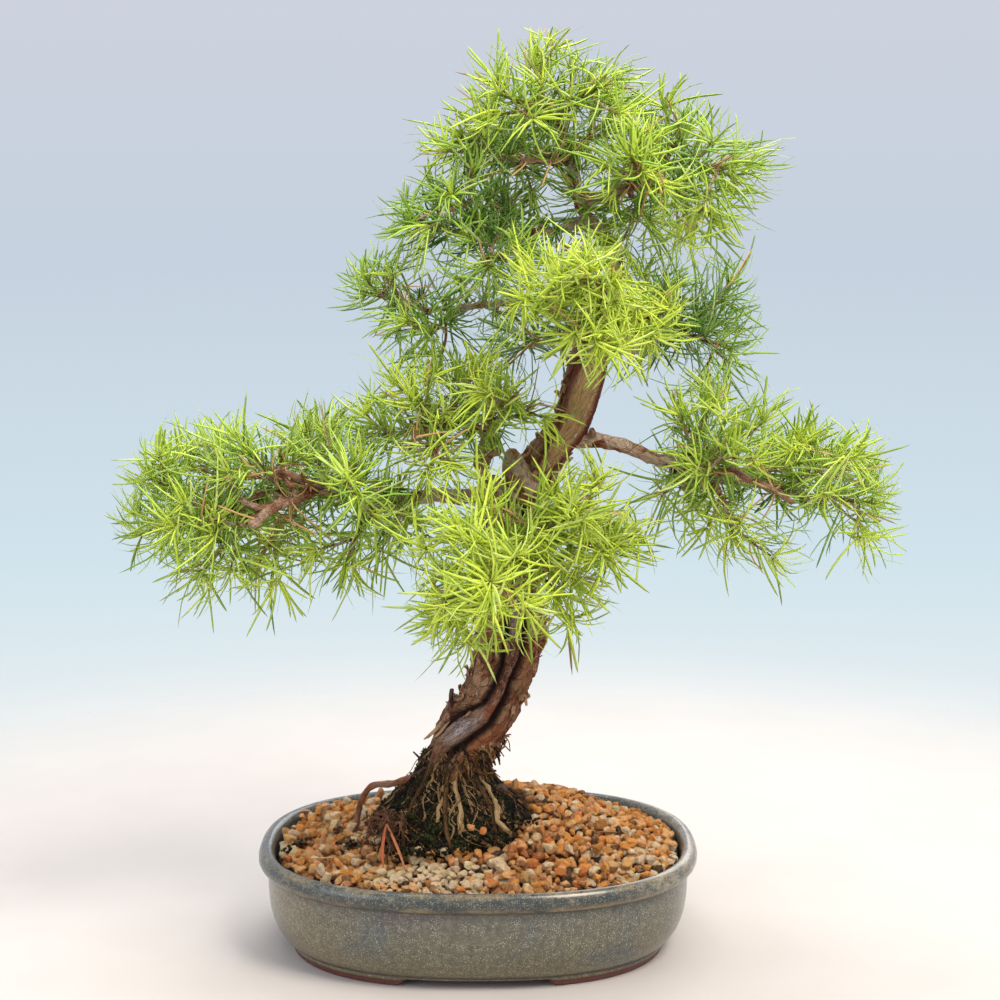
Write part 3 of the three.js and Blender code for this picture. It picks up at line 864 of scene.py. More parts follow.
@dataclass(frozen=True)
class Bark:
    """Larch bark: flaking grey-brown scales over red-brown, dark furrows that are partly painted shade, and
    silvery strands.
    """

    red: str = "#5c2413"
    orange: str = "#bf6a38"
    silver: str = "#e2dad9"
    furrow: str = "#2e1109"
    bare: str = "#f8b97c"
    olive: str = "#98893f"
    rolled: str = "#86402c"

    def material(self) -> Material:
        """Makes the bark."""
        r = Recipe("larch_bark")
        grain = r.mark("grain", "Vector")
        scales = r.stretched(r.warped(grain, 0.3, 1.6), 0.5)
        flake = r.cells(scales, 0.27)["Color"]
        flake_edge = r.cells(scales, 0.27, "DISTANCE_TO_EDGE")["Distance"]
        fibres = r.noise(r.stretched(grain, 0.1), 2.0, 5, 0.72, 0.3)
        clouds = r.noise(grain, 0.11, 4, 0.6)
        upper = r.noise(r.stretched(grain, 0.45), 0.9, 5, 0.75, 0.6)
        grit = r.noise(r.stretched(grain, 0.6), 2.6, 4, 0.8, 0.4)
        strands = r.noise(r.stretched(grain, 0.12), 3.0, 4, 0.75, 0.4)
        dash = r.noise(r.stretched(grain, 0.16), 1.5, 4, 0.75)
        each = r.plus(r.times(flake, 0.55), r.times(fibres, 0.5))
        each = r.plus(each, r.times(r.less(clouds, 0.5), 0.9))
        tone = r.ramp(each, (0.2, self.red), (0.38, "#864b2e"), (0.55, "#b7835c"), (0.76, "#e4b990"))
        tone = r.blend(r.times(r.cells(scales, 1.25)["Color"], 0.22), tone, self.red)
        tone = r.blend(r.mark("shade"), tone, r.blend(fibres, "#3a160c", "#7a3a22"))
        tone = r.over(tone, "#dcae86", upper, 0.52, 0.61, 0.7)
        tone = r.over(tone, "#43190e", upper, 0.46, 0.38, 0.65)
        tone = r.over(tone, "#f0c8a0", grit, 0.57, 0.65, 0.7)
        tone = r.over(tone, "#30130b", grit, 0.42, 0.35, 0.5)
        # orange also stands for painted light on the stem's right flank.
        tone = r.blend(r.times(r.mark("orange"), r.span(fibres, 0.3, 0.6, 0.2, 0.8)), tone, self.orange)
        tone = r.blend(r.times(r.mark("silver"), r.span(strands, 0.44, 0.53)), tone, self.silver)
        young = r.ramp(each, (0.24, "#8a3f22"), (0.4, "#d68c62"), (0.56, "#ffdcc4"))
        tone = r.blend(r.mark("young"), tone, young)
        tone = r.blend(r.mark("fresh"), tone, "#a9a548")
        mottled = r.times(r.less(r.plus(fibres, grit), 1.0), 1.7)
        old = r.ramp(r.plus(r.mark("tan"), mottled), (0.05, "#160d07"), (0.34, "#4b2c14"), (0.62, "#b17c43"),
                     (0.95, "#fbd194"))
        tone = r.blend(r.mark("rooty"), tone, old)
        wood = r.ramp(fibres, (0.34, "#b87440"), (0.46, self.bare), (0.6, "#ffdfb0"))
        wood = r.over(wood, self.olive, clouds, 0.5, 0.62, 0.5)
        wood = r.over(wood, "#4a2c16", dash, 0.57, 0.62, 0.85)
        tone = r.blend(r.mark("bare"), tone, wood)
        tone = r.blend(r.mark("rolled"), tone, self.rolled)
        tone = r.blend(r.times(r.mark("moss"), r.span(clouds, 0.42, 0.6)), tone, "#39401a")
        crack = r.times(r.span(flake_edge, 0.05, 0.0), r.less(1.0, r.mark("bare")))
        broken = r.times(r.times(crack, r.mark("scaly")), r.span(upper, 0.42, 0.6, 0.0, 0.7))
        tone = r.blend(broken, tone, "#4a2216")
        tone = r.blend(r.mark("crack"), tone, self.furrow)
        # The furrows' dark red-brown is partly their inner bark and partly painted shade deep in them; some
        # knots and the dead snag take the same dark.
        tone = r.blend(r.mark("furrow"), tone, self.furrow)
        relief = r.plus(r.times(flake, 1.3), r.plus(r.plus(fibres, grit), r.times(upper, 2.6)))
        gloss = r.plus(r.times(r.mark("silver"), 0.25), r.times(r.mark("rolled"), 0.5))
        return r.finish(tone, r.less(0.84, gloss), r.less(relief, r.times(crack, 1.2)), 0.0011, 1.0,
                        Specular_IOR_Level=0.35)


@dataclass(frozen=True)
class LooseBark:
    """Curled flakes of dry bark, paler at their lifted edges."""

    core: str = "#7f4a31"
    edge: str = "#cda983"
    under: str = "#6e3018"

    def material(self) -> Material:
        """Makes the flakes' finish."""
        r = Recipe("loose_bark_flakes")
        fibres = r.noise(r.stretched(r.place(), 0.3), 1500, 4, 0.7)
        tone = r.blend(r.mark("tint"), self.core, "#b08767")
        tone = r.blend(r.times(r.mark("rim"), 0.5), tone, self.edge)
        tone = r.over(tone, "#4a2a1c", fibres, 0.5, 0.75, 0.6)
        tone = r.over(tone, self.under, r.mark("tint"), 0.2, 0.0, 0.8)
        return r.finish(tone, 0.85, fibres, 0.0004, 0.9, Specular_IOR_Level=0.3)


@dataclass(frozen=True)
class DryLitter:
    """Dead leaves and scraps: dark bark, tan needles and rust-red scales."""

    dark: str = "#3b2f1e"
    tan: str = "#c19a63"
    rust: str = "#a5481c"

    def material(self) -> Material:
        """Makes the finish."""
        r = Recipe("dry_litter")
        fibres = r.noise(r.stretched(r.place(), 0.4), 900, 4, 0.7)
        tone = r.ramp(r.mark("tint"), (0.2, self.dark), (0.5, "#7a4c28"), (0.85, self.rust))
        tone = r.blend(r.mark("rim"), tone, self.tan)
        tone = r.over(tone, "#5b2a14", fibres, 0.45, 0.7, 0.6)
        return r.finish(tone, 0.6, fibres, 0.0003, 0.8, Specular_IOR_Level=0.4)


@dataclass(frozen=True)
class Leaf:
    """Soft larch needles: yellow-green when fresh, deeper green when old, a few dead and tan; the pads at the
    back and the needles deep inside come out older and darker as painted shade, and the hearts of young
    rosettes paler as painted light.
    """

    fresh: str = "#d8ea4a"
    young: str = "#b6d146"
    grown: str = "#8bb33f"
    old: str = "#527c38"
    pale: str = "#d3e2a6"
    deep: str = "#3f6a34"
    dead: str = "#d9b27c"

    def material(self) -> Material:
        """Makes the needles' finish."""
        r = Recipe("larch_needles")
        along, tint = r.mark("along"), r.mark("tint")
        # Needles darken when older and towards their ends; the extra darkness given to pads at the back and
        # to needles deep inside is painted shade.
        aged_and_shaded = r.maths("ADD", r.mark("age"), r.span(along, 0.15, 0.9, -0.10, 0.16), hold=True)
        tone = r.ramp(aged_and_shaded, (0.0, self.fresh), (0.32, self.young), (0.66, self.grown), (1.0, self.old))
        tone = r.over(tone, self.pale, tint, 0.72, 1.0, 0.4)
        tone = r.over(tone, self.deep, tint, 0.25, 0.0, 0.5)
        # Pale yellow at the foot of young needles: partly their own colour, partly painted light in the
        # hearts of the rosettes.
        pale_heart_and_light = r.times(r.span(along, 0.3, 0.0, 0.0, 0.75), r.span(r.mark("age"), 0.5, 0.05))
        tone = r.blend(pale_heart_and_light, tone, "#e2ea84")
        tips = r.times(r.span(along, 0.88, 1.0, 0.0, 0.6), r.span(tint, 0.4, 0.6))
        tone = r.blend(tips, tone, "#a98a4a")
        mottle = r.noise(r.place(), 160, 3, 0.6)
        tone = r.over(tone, "#e6f09a", mottle, 0.45, 0.7, 0.22)
        tone = r.blend(r.mark("dead"), tone, r.blend(mottle, self.dead, "#b8824f"))
        return r.finish(tone, 0.58, mottle, 0.0001, 0.3, Specular_IOR_Level=0.35)


# Forms that Geometry Nodes set on points

@dataclass
class Seeds:
    """Places where small forms go, with the aim, the size and the kind of each."""

    places: Array
    aims: Array
    sizes: Array
    kinds: Array
    marks: dict[str, Array] = field(default_factory=dict)


class Placing:
    """The Geometry Nodes tree that sets small forms on points, each aimed and sized."""

    inputs: dict[str, str] = {
        "Points": "Geometry", "Forms": "Collection", "Droop": "Float", "Roll": "Float", "Seed": "Int",
        "Finish": "Material",
    }

    def __init__(self) -> None:
        """Builds the tree once."""
        self.tree = bpy.data.node_groups.new("set forms on points", "GeometryNodeTree")
        face = self.tree.interface
        for name, kind in self.inputs.items():
            face.new_socket(name, in_out="INPUT", socket_type="NodeSocket" + kind)
        face.new_socket("Forms made", in_out="OUTPUT", socket_type="NodeSocketGeometry")
        self._nodes()

    def _node(self, kind: str, inputs: dict, output: int | str = 0, **settings: object) -> Socket | None:
        """Adds a node and gives one of its outputs, if it has any."""
        node = node_in(self.tree, kind, inputs, **settings)
        return node.outputs[output] if node.outputs else None

    def _mark(self, name: str, kind: str) -> Socket:
        """Reads a mark of the points."""
        node = node_in(self.tree, "GeometryNodeInputNamedAttribute", {"Name": name}, data_type=kind)
        return next(s for s in node.outputs if s.enabled and s.name == "Attribute")

    def _times(self, a: object, b: object) -> Socket:
        """The product of two numbers."""
        return self._node("ShaderNodeMath", {0: a, 1: b}, operation="MULTIPLY")

    def _rotation(self, given: dict[str, Socket]) -> Socket:
        """Aims a form along its mark, faces it, and turns it at random within the roll."""
        align = "FunctionNodeAlignRotationToVector"
        aim = self._node(align, {"Vector": self._mark("aim", "FLOAT_VECTOR")}, axis="Z")
        faced = self._node(align, {"Rotation": aim, "Vector": self._mark("face", "FLOAT_VECTOR")}, axis="Y",
                           pivot_axis="Z")
        turn = self._node("FunctionNodeRandomValue", {2: 0.0, 3: given["Roll"], "Seed": given["Seed"]}, 1,
                          data_type="FLOAT")
        roll = self._node("FunctionNodeEulerToRotation", {0: self._node("ShaderNodeCombineXYZ", {"Z": turn})})
        return self._node("FunctionNodeRotateRotation", {"Rotation": faced, "Rotate By": roll},
                          rotation_space="LOCAL")

    def _nodes(self) -> None:
        """Links the tree."""
        given = node_in(self.tree, "NodeGroupInput", {}).outputs
        forms = self._node("GeometryNodeCollectionInfo", {
            "Collection": given["Forms"], "Separate Children": True, "Reset Children": True})
        size = self._mark("size", "FLOAT_VECTOR")
        placed = self._node("GeometryNodeInstanceOnPoints", {
            "Points": given["Points"], "Instance": forms, "Pick Instance": True,
            "Instance Index": self._mark("kind", "INT"), "Rotation": self._rotation(given), "Scale": size})
        solid = self._node("GeometryNodeRealizeInstances", {"Geometry": placed})
        along = self._mark("along", "FLOAT")
        reach = self._node("ShaderNodeSeparateXYZ", {0: size}, "Z")
        sag = self._times(self._times(self._times(along, along), reach), self._times(given["Droop"], -1.0))
        down = self._node("ShaderNodeCombineXYZ", {"Z": sag})
        bent = self._node("GeometryNodeSetPosition", {"Geometry": solid, "Offset": down})
        dressed = self._node("GeometryNodeSetMaterial", {"Geometry": bent, "Material": given["Finish"]})
        self._node("NodeGroupOutput", {0: dressed})

    def make(self, name: str, slot: str, seeds: Seeds, forms: list[Surface], finish: Material, *nodes: str,
             smooth: bool = False, droop: float = 0.0, roll: float = 2 * math.pi, seed: int = 1) -> None:
        """Sets forms on points and turns the result into a plain piece.

        Args:
            name: the piece's name.
            slot: the name of its finish.
            seeds: where the forms go.
            forms: the forms.
            finish: the material.
            *nodes: the CAD nodes that it stands for.
            smooth: whether the forms are shaded smooth.
            droop: how far a form's tip sags, as a share of its length.
            roll: how far a form may be turned about its aim.
            seed: which random turns.
        """
        kept = bpy.data.collections.new(name + "_forms")
        bpy.context.scene.collection.children.link(kept)
        for index, form in enumerate(forms):
            mesh = mesh_of(f"{name}_form_{index:02d}", form, in_frame=False, smooth=smooth)
            kept.objects.link(bpy.data.objects.new(mesh.name, mesh))
        marks = {"aim": seeds.aims, "face": seeds.aims[:, [1, 2, 0]], "size": seeds.sizes * 0.001,
                 "kind": seeds.kinds.astype(int), **seeds.marks}
        mesh = mesh_of(name + "_points", Surface(seeds.places, [], marks), smooth=False)
        points = shown(mesh.name, mesh)
        modifier = points.modifiers.new("set forms", "NODES")
        modifier.node_group = self.tree
        values = {"Forms": kept, "Droop": droop, "Roll": roll, "Seed": seed, "Finish": finish}
        for socket, value in values.items():
            modifier[self.tree.interface.items_tree[socket].identifier] = value
        mesh = evaluated(points)
        for spare in ("aim", "face", "size", "kind"):
            if spare in mesh.attributes:
                mesh.attributes.remove(mesh.attributes[spare])
        mesh.name = name
        points.modifiers.clear()
        for item in (points, *kept.objects):
            bpy.data.objects.remove(item)
        bpy.data.collections.remove(kept)
        settle(shown(name, mesh), slot, *nodes)


# The pot

# The pot's section from the middle of its underside to the middle of its floor. Each row gives how
# much of it is lip, inside, clay and groove, and then its places as radius and height.
# The groove column marks painted shade in the creases under the lip and above the feet.
SECTION = (
    ((0, 0, 1, 0), (0, 4), (30, 4), (60, 4), (76, 4), (77, 3.7), (77.5, 2), (77.9, 0.4), (78.4, 0), (83.9, 0),
     (84.7, 0.5), (84.8, 1.5), (84.9, 2.5)),
    ((0, 0, 0.4, 0), (85.6, 2.9)), ((0, 0, 0, 0), (86.1, 3.5)), ((0, 0, 0, 0.2), (86.1, 4.3)),
    ((0, 0, 0, 0.9), (85.8, 4.8)), ((0, 0, 0, 0.5), (86.3, 5.2)),
    ((0, 0, 0, 0), (88.4, 6.8), (90.3, 9), (92.2, 12), (93.6, 15.5), (94.6, 19.5), (95.2, 24), (95.5, 29),
     (95.5, 33.5)),
    ((0, 0, 0, 0.3), (95.4, 36.2)), ((0.3, 0, 0, 0.8), (95.5, 37)), ((0.8, 0, 0, 0.3), (96.4, 37.5)),
    ((1, 0, 0, 0), (97.9, 38.3), (99.1, 39.5), (99.7, 41), (99.7, 42.6), (99.1, 44.1), (98.1, 45.4),
     (96.8, 46.1), (95.3, 46.2), (94.1, 45.7)),
    ((0.9, 0.1, 0, 0), (93.2, 44.7)), ((0.5, 0.5, 0, 0), (92.5, 43.2)),
    ((0, 1, 0, 0), (91.9, 41), (91.5, 37), (90.9, 31), (89.8, 24)), ((0, 0.4, 0.6, 0), (87.5, 16)),
    ((0, 0, 1, 0), (84, 12), (78, 10), (50, 10), (0, 10)),
)


@dataclass
class Pot:
    """The oval pot: a rolled lip, a bellied wall, four low feet and two drain holes."""

    foot_height: float = 4.0
    foot_gap_side: float = 60.0
    foot_gap_end: float = 30.0
    foot_slope: float = 5.0
    hole_radius: float = 7.0
    hole_x: float = 42.0
    segments: int = 216

    def body(self) -> Surface:
        """The pot's skin, with the gaps between its feet."""
        rows = np.array([(*place, *marks) for marks, *places in SECTION for place in places], float)
        angle = once_round(self.segments)
        across, along = np.abs(np.cos(angle)), np.abs(np.sin(angle))
        full = (across ** OVAL_POWER + along ** OVAL_POWER) ** (-1 / OVAL_POWER)
        skin = rows[1:-1]
        x = skin[:, :1] * full * np.cos(angle)
        y = skin[:, :1] * full * np.sin(angle) * OVAL
        wave = rough_noise(np.stack([x, y, np.broadcast_to(skin[:, 1:2], x.shape)], -1) / 26.0, 5, 2)
        swell = 1 + 0.0022 * wave * (skin[:, 1:2] > 6)
        x, y = x * swell, y * swell
        z = np.broadcast_to(skin[:, 1:2], x.shape).copy()
        side_gap, end_gap = (1 - eased(gap / 2, gap / 2 + self.foot_slope, np.abs(off))
                             for gap, off in ((self.foot_gap_side, x), (self.foot_gap_end, y)))
        gap = np.maximum(side_gap, end_gap) * ((skin[:, :1] < 87) & (z < self.foot_height))
        z = z + gap * (self.foot_height - z)
        points = np.stack([x, y, z], -1).reshape(-1, 3)
        centres = np.array([[0, 0, rows[0][1]], [0, 0, rows[-1][1]]])
        m, n = self.segments, len(skin)
        marks = {name: np.concatenate([np.repeat(skin[:, column], m), rows[[0, -1], column]])
                 for column, name in enumerate(("lip", "inside", "clay", "groove"), start=2)}
        radius, height = skin[:, 0], skin[:, 1]
        edge = bell(height, 38.2, 0.9) * (radius > 95) + 0.5 * bell(height, 45.4, 0.7) * (radius > 96)
        patchy = eased(-0.3, 0.3, rough_noise(points / 9.0, 7, 3))
        marks["worn"] = np.concatenate([np.repeat(edge, m) * patchy, [0.0, 0.0]])
        return Surface(np.vstack([points, centres]), skin_faces(n, m), marks)

    def build(self) -> None:
        """Makes the pot and bores its drain holes."""
        pot = shown("glazed_pot", mesh_of("glazed_pot", self.body()), Glaze().material())
        drills = []
        for sign in (-1, 1):
            line = np.array([[sign * self.hole_x, 0, z] for z in (-4.0, 0.0, 7.0, 14.0, 18.0)])
            drill = tube(line, np.full((5, 40), self.hole_radius)).marked(clay=1.0)
            drills.append(shown(f"drill_{sign + 1}", mesh_of("drill", drill)))
            cut = pot.modifiers.new("drain hole", "BOOLEAN")
            cut.operation = "DIFFERENCE"
            cut.object = drills[-1]
        mesh = evaluated(pot)
        pot.modifiers.clear()
        pot.data = mesh
        for drill in drills:
            bpy.data.objects.remove(drill)
        settle(pot, "glaze", "pot")


# The soil

class Tone(Enum):
    """The tones that the granules come in."""

    TAN = "#dba469"
    AMBER = "#c1823f"
    RUST = "#a0602f"
    CREAM = "#ffe0b2"
    BROWN = "#976840"
    DARK = "#3c2c1a"


@dataclass
class Gravel:
    """Loose granules over the soil, heaped as the packed soil is."""

    pitch: float = 4.2
    spread: float = 89.6
    second_layer: int = 460
    kinds: int = 9
    smallest: float = 3.9
    largest: float = 6.3
    # Two granules that lie on the mound: the place and the size of each.
    strays: tuple = ((-2.8, -35, 62.4, 4.2), (2.3, -36, 61.0, 4.8))

    def forms(self) -> list[Surface]:
        """Rounded, slightly angular lumps one unit across."""
        lumps = []
        for kind in range(self.kinds):
            base = ball(2)
            rng = np.random.default_rng(40 + kind)
            shape = base.points.copy()
            for _ in range(9):
                normal = unit(rng.normal(size=3))
                over = np.maximum(shape @ normal - rng.uniform(0.22, 0.37), 0)
                shape -= 0.98 * over[:, None] * normal
            shape *= 1 + 0.22 * rough_noise(base.points * 4.2 + 9 * kind, kind, 3)[:, None]
            shape *= rng.uniform([1.0, 0.95, 0.76], [1.3, 1.12, 1.0])
            lumps.append(Surface(shape, base.faces))
        return lumps

    def tones(self, places: Array, rng: Random) -> Array:
        """Picks a tone for each granule, by where it lies.

        Args:
            places: the granules' middles.
            rng: the source of random numbers.

        Returns:
            The colours.
        """
        x, y = places[:, 0], places[:, 1]
        drift = soft_noise(places / 24.0, 3)
        weights = {
            Tone.TAN: 0.44 + 0 * x,
            Tone.AMBER: 0.24 + 0.25 * eased(0, 60, x) + 0.15 * drift,
            Tone.RUST: 0.07 + 0.30 * bell(x, 22, 14) * bell(y, -38, 14) + 0.18 * eased(10, 50, y),
            Tone.CREAM: 0.14 + 9.0 * bell(x, -17, 13) * bell(y, -54, 8) + 0.3 * eased(-20, -75, x)
            + 0.9 * bell(x, 70, 13) * bell(y, -22, 16) - 0.1 * drift,
            Tone.BROWN: 0.26 + 0.22 * bell(x, 20, 18) * bell(y, -35, 12) + 0.12 * eased(0, 50, y),
            Tone.DARK: 0.02 + 0.25 * bell(x, -34, 10) * bell(y, -36, 9)
            + 0.15 * bell(x, 14, 9) * bell(y, -40, 6),
        }
        chances = np.clip(np.stack([weights[tone] for tone in Tone], -1), 0.001, None)
        chances /= chances.sum(-1, keepdims=True)
        picks = (rng.random(len(x))[:, None] > np.cumsum(chances, -1)).sum(-1).clip(0, len(Tone) - 1)
        tones = np.array([colour(tone.value) for tone in Tone])[picks]
        tones[:, :3] *= rng.uniform(0.9, 3.4, (len(x), 1)) * rng.uniform(0.95, 1.05, (len(x), 3))
        tones[:, :3] /= np.maximum(tones[:, :3].max(-1, keepdims=True) / 0.97, 1)
        return tones

    def places(self, ground: BVHTree, rng: Random) -> tuple[Array, Array]:
        """Scatters granules over the soil.

        Args:
            ground: the packed soil.
            rng: the source of random numbers.

        Returns:
            The granules' middles and their sizes.
        """
        step = self.pitch * math.sqrt(3) / 2
        rows = [((j + (i % 2) / 2) * self.pitch, i * step) for i in range(-26, 27) for j in range(-27, 28)]
        flat = np.array(rows) + rng.normal(0, 0.45, (len(rows), 2))
        extra = rng.uniform([-90, -73], [90, 73], (self.second_layer * 2, 2))
        extra = extra[(extra[:, 0] < 8) | (extra[:, 1] < -4)]
        spots, sizes = [], []
        for grid, lift in ((flat, 0.12), (extra[: self.second_layer], 0.72)):
            share = (np.abs(grid / [self.spread, self.spread * OVAL]) ** OVAL_POWER).sum(-1)
            grid = grid[share < 1.0]
            away = np.hypot(grid[:, 0] - MOUND_X, grid[:, 1] / MOUND_WIDTH_SHARE)
            for (x, y), out in zip(grid, away):
                hit = ground.ray_cast(Vector(to_frame(np.array([x, y, 150.0]))), Vector((0, 0, -1)))[0]
                z = 0.0 if hit is None else (hit.z - POT_PLACE[2]) * 1000
                if out < 35.5 or z < 38:
                    continue
                fine = abs(x + 16) < 16 and -62 < y < -44
                size = rng.uniform(self.smallest, self.largest) * (0.84 if fine else 1)
                spots.append((x, y, z + lift * size))
                sizes.append(size)
        return np.array(spots), np.array(sizes)

    def build(self, placing: Placing) -> None:
        """Makes the granules, and dresses the packed soil under them."""
        rng = np.random.default_rng(11)
        dress("soil", DarkSoil().material())
        soil = frame["nodes"]["soil"].data
        ground = BVHTree.FromPolygons([v.co for v in soil.vertices], [p.vertices for p in soil.polygons])
        spots, sizes = self.places(ground, rng)
        strays = np.array(self.strays)
        spots, sizes = np.vstack([spots, strays[:, :3]]), np.append(sizes, strays[:, 3])
        aims = unit(rng.normal(0, 0.5, spots.shape) + [0, 0, 1])
        seeds = Seeds(spots, aims, sizes[:, None] * rng.uniform(0.92, 1.08, (len(sizes), 3)),
                      rng.integers(0, self.kinds, len(sizes)), {"tone": self.tones(spots, rng)})
        placing.make("soil_granules", "granules", seeds, self.forms(), Grains().material(), seed=5)
        net = Net().material()
        for node in ("screen_left", "screen_right"):
            dress(node, net)


# The wood

# The middle line of the stem and its leader: x, y, height, and the mean radius there.
STEM = [
    (-9, 0, 58, 15), (-9, 0, 80, 15), (-4, 0, 95, 15.2), (5, -1, 109, 14.4), (12, -2, 130, 13.4),
    (15, -2, 154, 13), (16, -2, 179, 12), (18, -1, 195, 11.2), (22, -1, 208, 10.2),
    (28, 0, 219, 9), (36, 0, 231, 8), (41, 0, 240, 7.8), (46, 0, 255, 7.9), (50, 0, 272, 7.2),
    (54, 0, 286, 5.6), (61, 0, 305, 4), (57, 0, 319, 3.6), (46, 0, 332, 3.2), (42, 0, 346, 2.8),
    (37, 0, 365, 2.3), (29, -2, 377, 1.9),
]


@dataclass(frozen=True)
class Branch:
    """A woody branch: its course outwards from the stem, its radii, and how its leaves are.

    age is 0 for fresh yellow-green leaves and 1 for old dark ones; it also carries painted shade,
    higher for the pads at the back and lower for those in front. leafy is the share of its length
    from which leaves grow on the branch itself. reach is how long the leaves are, fullness how
    closely they stand, thick how wide they are, and rosette how many each shoot has at its tip.
    """

    course: tuple
    radii: tuple[float, float]
    age: float
    leafy: float = 0.4
    reach: tuple[float, float] = (19, 27)
    fullness: float = 1.0
    thick: float = 1.0
    rosette: int = 17


BRANCHES = {
    "stub": Branch(((23, -2, 203), (19, -6, 215), (14, -7, 227)), (7.6, 4), 0.5, 2.0),
    "left": Branch(((18, 0, 202), (0, -5, 205), (-25, -10, 206), (-48, -12, 203), (-66, -15, 211),
        (-82, -18, 208), (-100, -20, 204), (-124, -18, 199)), (5, 1.6), 0.27, 0.36, (13, 20)),
    "upper_left": Branch(((20, -2, 204), (6, -14, 213), (1, -20, 223), (4, -20, 235), (-10, -21, 241),
        (-26, -22, 237)), (4, 1.5), 0.06, 0.5, (13, 20)),
    "front": Branch(((16, -4, 184), (15, -25, 187), (14, -45, 191), (11, -68, 195)), (3.8, 1.8), 0.02, 0.4,
        (13, 19), 0.98, 1.16, 32),
    "right": Branch(((36, 0, 233), (62, 0, 228), (84, -6, 222), (105, -10, 216), (122, -11, 213),
        (146, -11, 206)), (4.3, 2.3), 0.24, 0.46, (14, 22)),
    "mid_left": Branch(((52, 1, 280), (36, 9, 285), (14, 10, 290), (-4, 8, 289), (-22, 4, 288)),
        (2.6, 1.4), 0.42, 0.45, (13, 20), 0.8, 0.9),
    "upper": Branch(((50, 0, 327), (30, 0, 323), (13, -4, 321), (-3, -8, 321)), (2.8, 1.4), 0.5, 0.3,
        (14, 21)),
    "apex_left": Branch(((40, 0, 354), (27, -4, 354), (13, -8, 354)), (2.2, 1.4), 0.36, 0.3, (13, 20)),
    "upper_right": Branch(((44, 0, 334), (56, -5, 338), (70, -10, 346), (84, -14, 353)),
        (2.8, 1.4), 0.3, 0.3, (15, 23)),
    "back_right": Branch(((53, 2, 277), (66, 15, 269), (77, 30, 270), (93, 44, 275)), (3.4, 1.5), 0.62, 0.5,
        (15, 23), 1.0, 0.9),
    "middle": Branch(((55, -2, 288), (52, -24, 293), (48, -48, 297)), (2.8, 1.6), 0.04, 0.4,
        (12, 18), 0.85, 1.06, 28),
    "back_left": Branch(((50, 4, 273), (40, 24, 272), (30, 38, 270)), (2.6, 1.5), 0.72, 0.4,
        (15, 22), 1.0, 0.9),
}

# Gnarled old spurs: the radii of each, and its course.
KNOTS = [
    ((3.4, 2.0), (5, -13, 208), (3, -17, 216), (3.5, -19, 224), (5, -20, 231), (7, -21, 234)),
    ((2.0, 1.3), (3, -18, 224), (7, -21, 228), (10, -23, 229)),
    ((0.9, 0.6), (3, -17, 217), (8, -20, 217), (12, -22, 215), (17, -24, 211)),
    ((1.8, 1.2), (50, -1, 231), (51, -4, 234), (50.5, -5, 236)),
    ((1.2, 0.9), (9, -24, 77), (11, -25, 78.5), (13, -25, 76)),
    ((1.5, 0.9), (-8, -4, 104), (-11, -6, 110), (-12, -7, 114), (-11.5, -7, 118)),
    ((0.7, 0.35), (-20, -8, 84), (-25, -10, 86), (-29, -11, 90)),
    ((0.6, 0.3), (-18, -9, 82), (-24, -10, 82), (-30, -12, 79)),
    ((1.3, 0.8), (-20, -8, 205), (-22, -12, 208), (-21, -14, 212)),
    ((1.9, 1.4), (-84, -19, 209), (-90, -26, 212), (-97, -30, 210), (-103, -32, 205)),
    ((1.5, 1.1), (-74, -18, 210), (-78, -26, 216), (-84, -30, 219), (-88, -31, 221)),
    ((1.2, 0.8), (-96, -20, 206), (-102, -26, 209), (-106, -30, 214), (-108, -31, 219)),
    ((1.3, 0.9), (-62, -14, 210), (-60, -24, 212), (-64, -30, 213), (-68, -32, 212)),
    ((1.3, 0.8), (-8, -21, 241), (-10, -28, 246), (-9, -30, 251)),
    ((1.2, 0.7), (126, -11, 212), (130, -20, 212), (136, -24, 209)),
    ((1.4, 0.8), (14, -48, 191), (18, -56, 194), (19, -60, 200)),
    ((2.6, 2.1), (-62, -14, 210), (-70, -25, 212), (-80, -37, 210), (-89, -45, 207), (-96, -49, 201)),
    ((1.6, 1.1), (-78, -34, 210), (-79, -41, 216), (-84, -45, 223)),
    ((1.7, 1.1), (-66, -18, 211), (-70, -32, 216), (-77, -42, 221), (-84, -46, 225)),
    ((1.3, 0.9), (-88, -43, 208), (-94, -48, 209), (-101, -50, 213)),
    ((1.9, 1.3), (104, -10, 216), (108, -24, 221), (112, -36, 222), (118, -40, 218)),
    ((1.7, 1.1), (122, -11, 213), (124, -26, 215), (128, -36, 214), (136, -38, 209)),
    ((1.2, 0.8), (-10, -21, 241), (-17, -32, 243), (-24, -40, 250)),
    ((1.3, 0.8), (-24, -22, 237), (-27, -33, 236), (-29, -38, 231)),
    ((1.3, 0.9), (40, 0, 352), (30, -12, 353), (19, -22, 354)),
    ((1.5, 1.0), (46, 0, 338), (56, -14, 338), (66, -24, 343), (76, -32, 347)),
    ((1.3, 0.8), (14, -46, 192), (12, -58, 200), (9, -66, 208)),
]

# The root mound: its radius at each height.
MOUND = [(25, 21), (28, 24), (40, 44), (36, 56), (28.5, 65), (20.5, 73), (16, 79), (13, 86)]

# Roots all round the mound: the bearing of each, how far it swings, and its radius.
ROOTS = [
    (-168, 8, 2.5), (-122, -10, 1.9), (-88, -8, 2.2), (-60, 10, 1.8),
    (-36, -12, 2), (25, 12, 2.2), (70, -14, 2), (152, -10, 2.1),
]
# The heights that a root passes on its way down.
ROOT_HEIGHTS = (93, 84, 76, 66, 56, 47, 40)
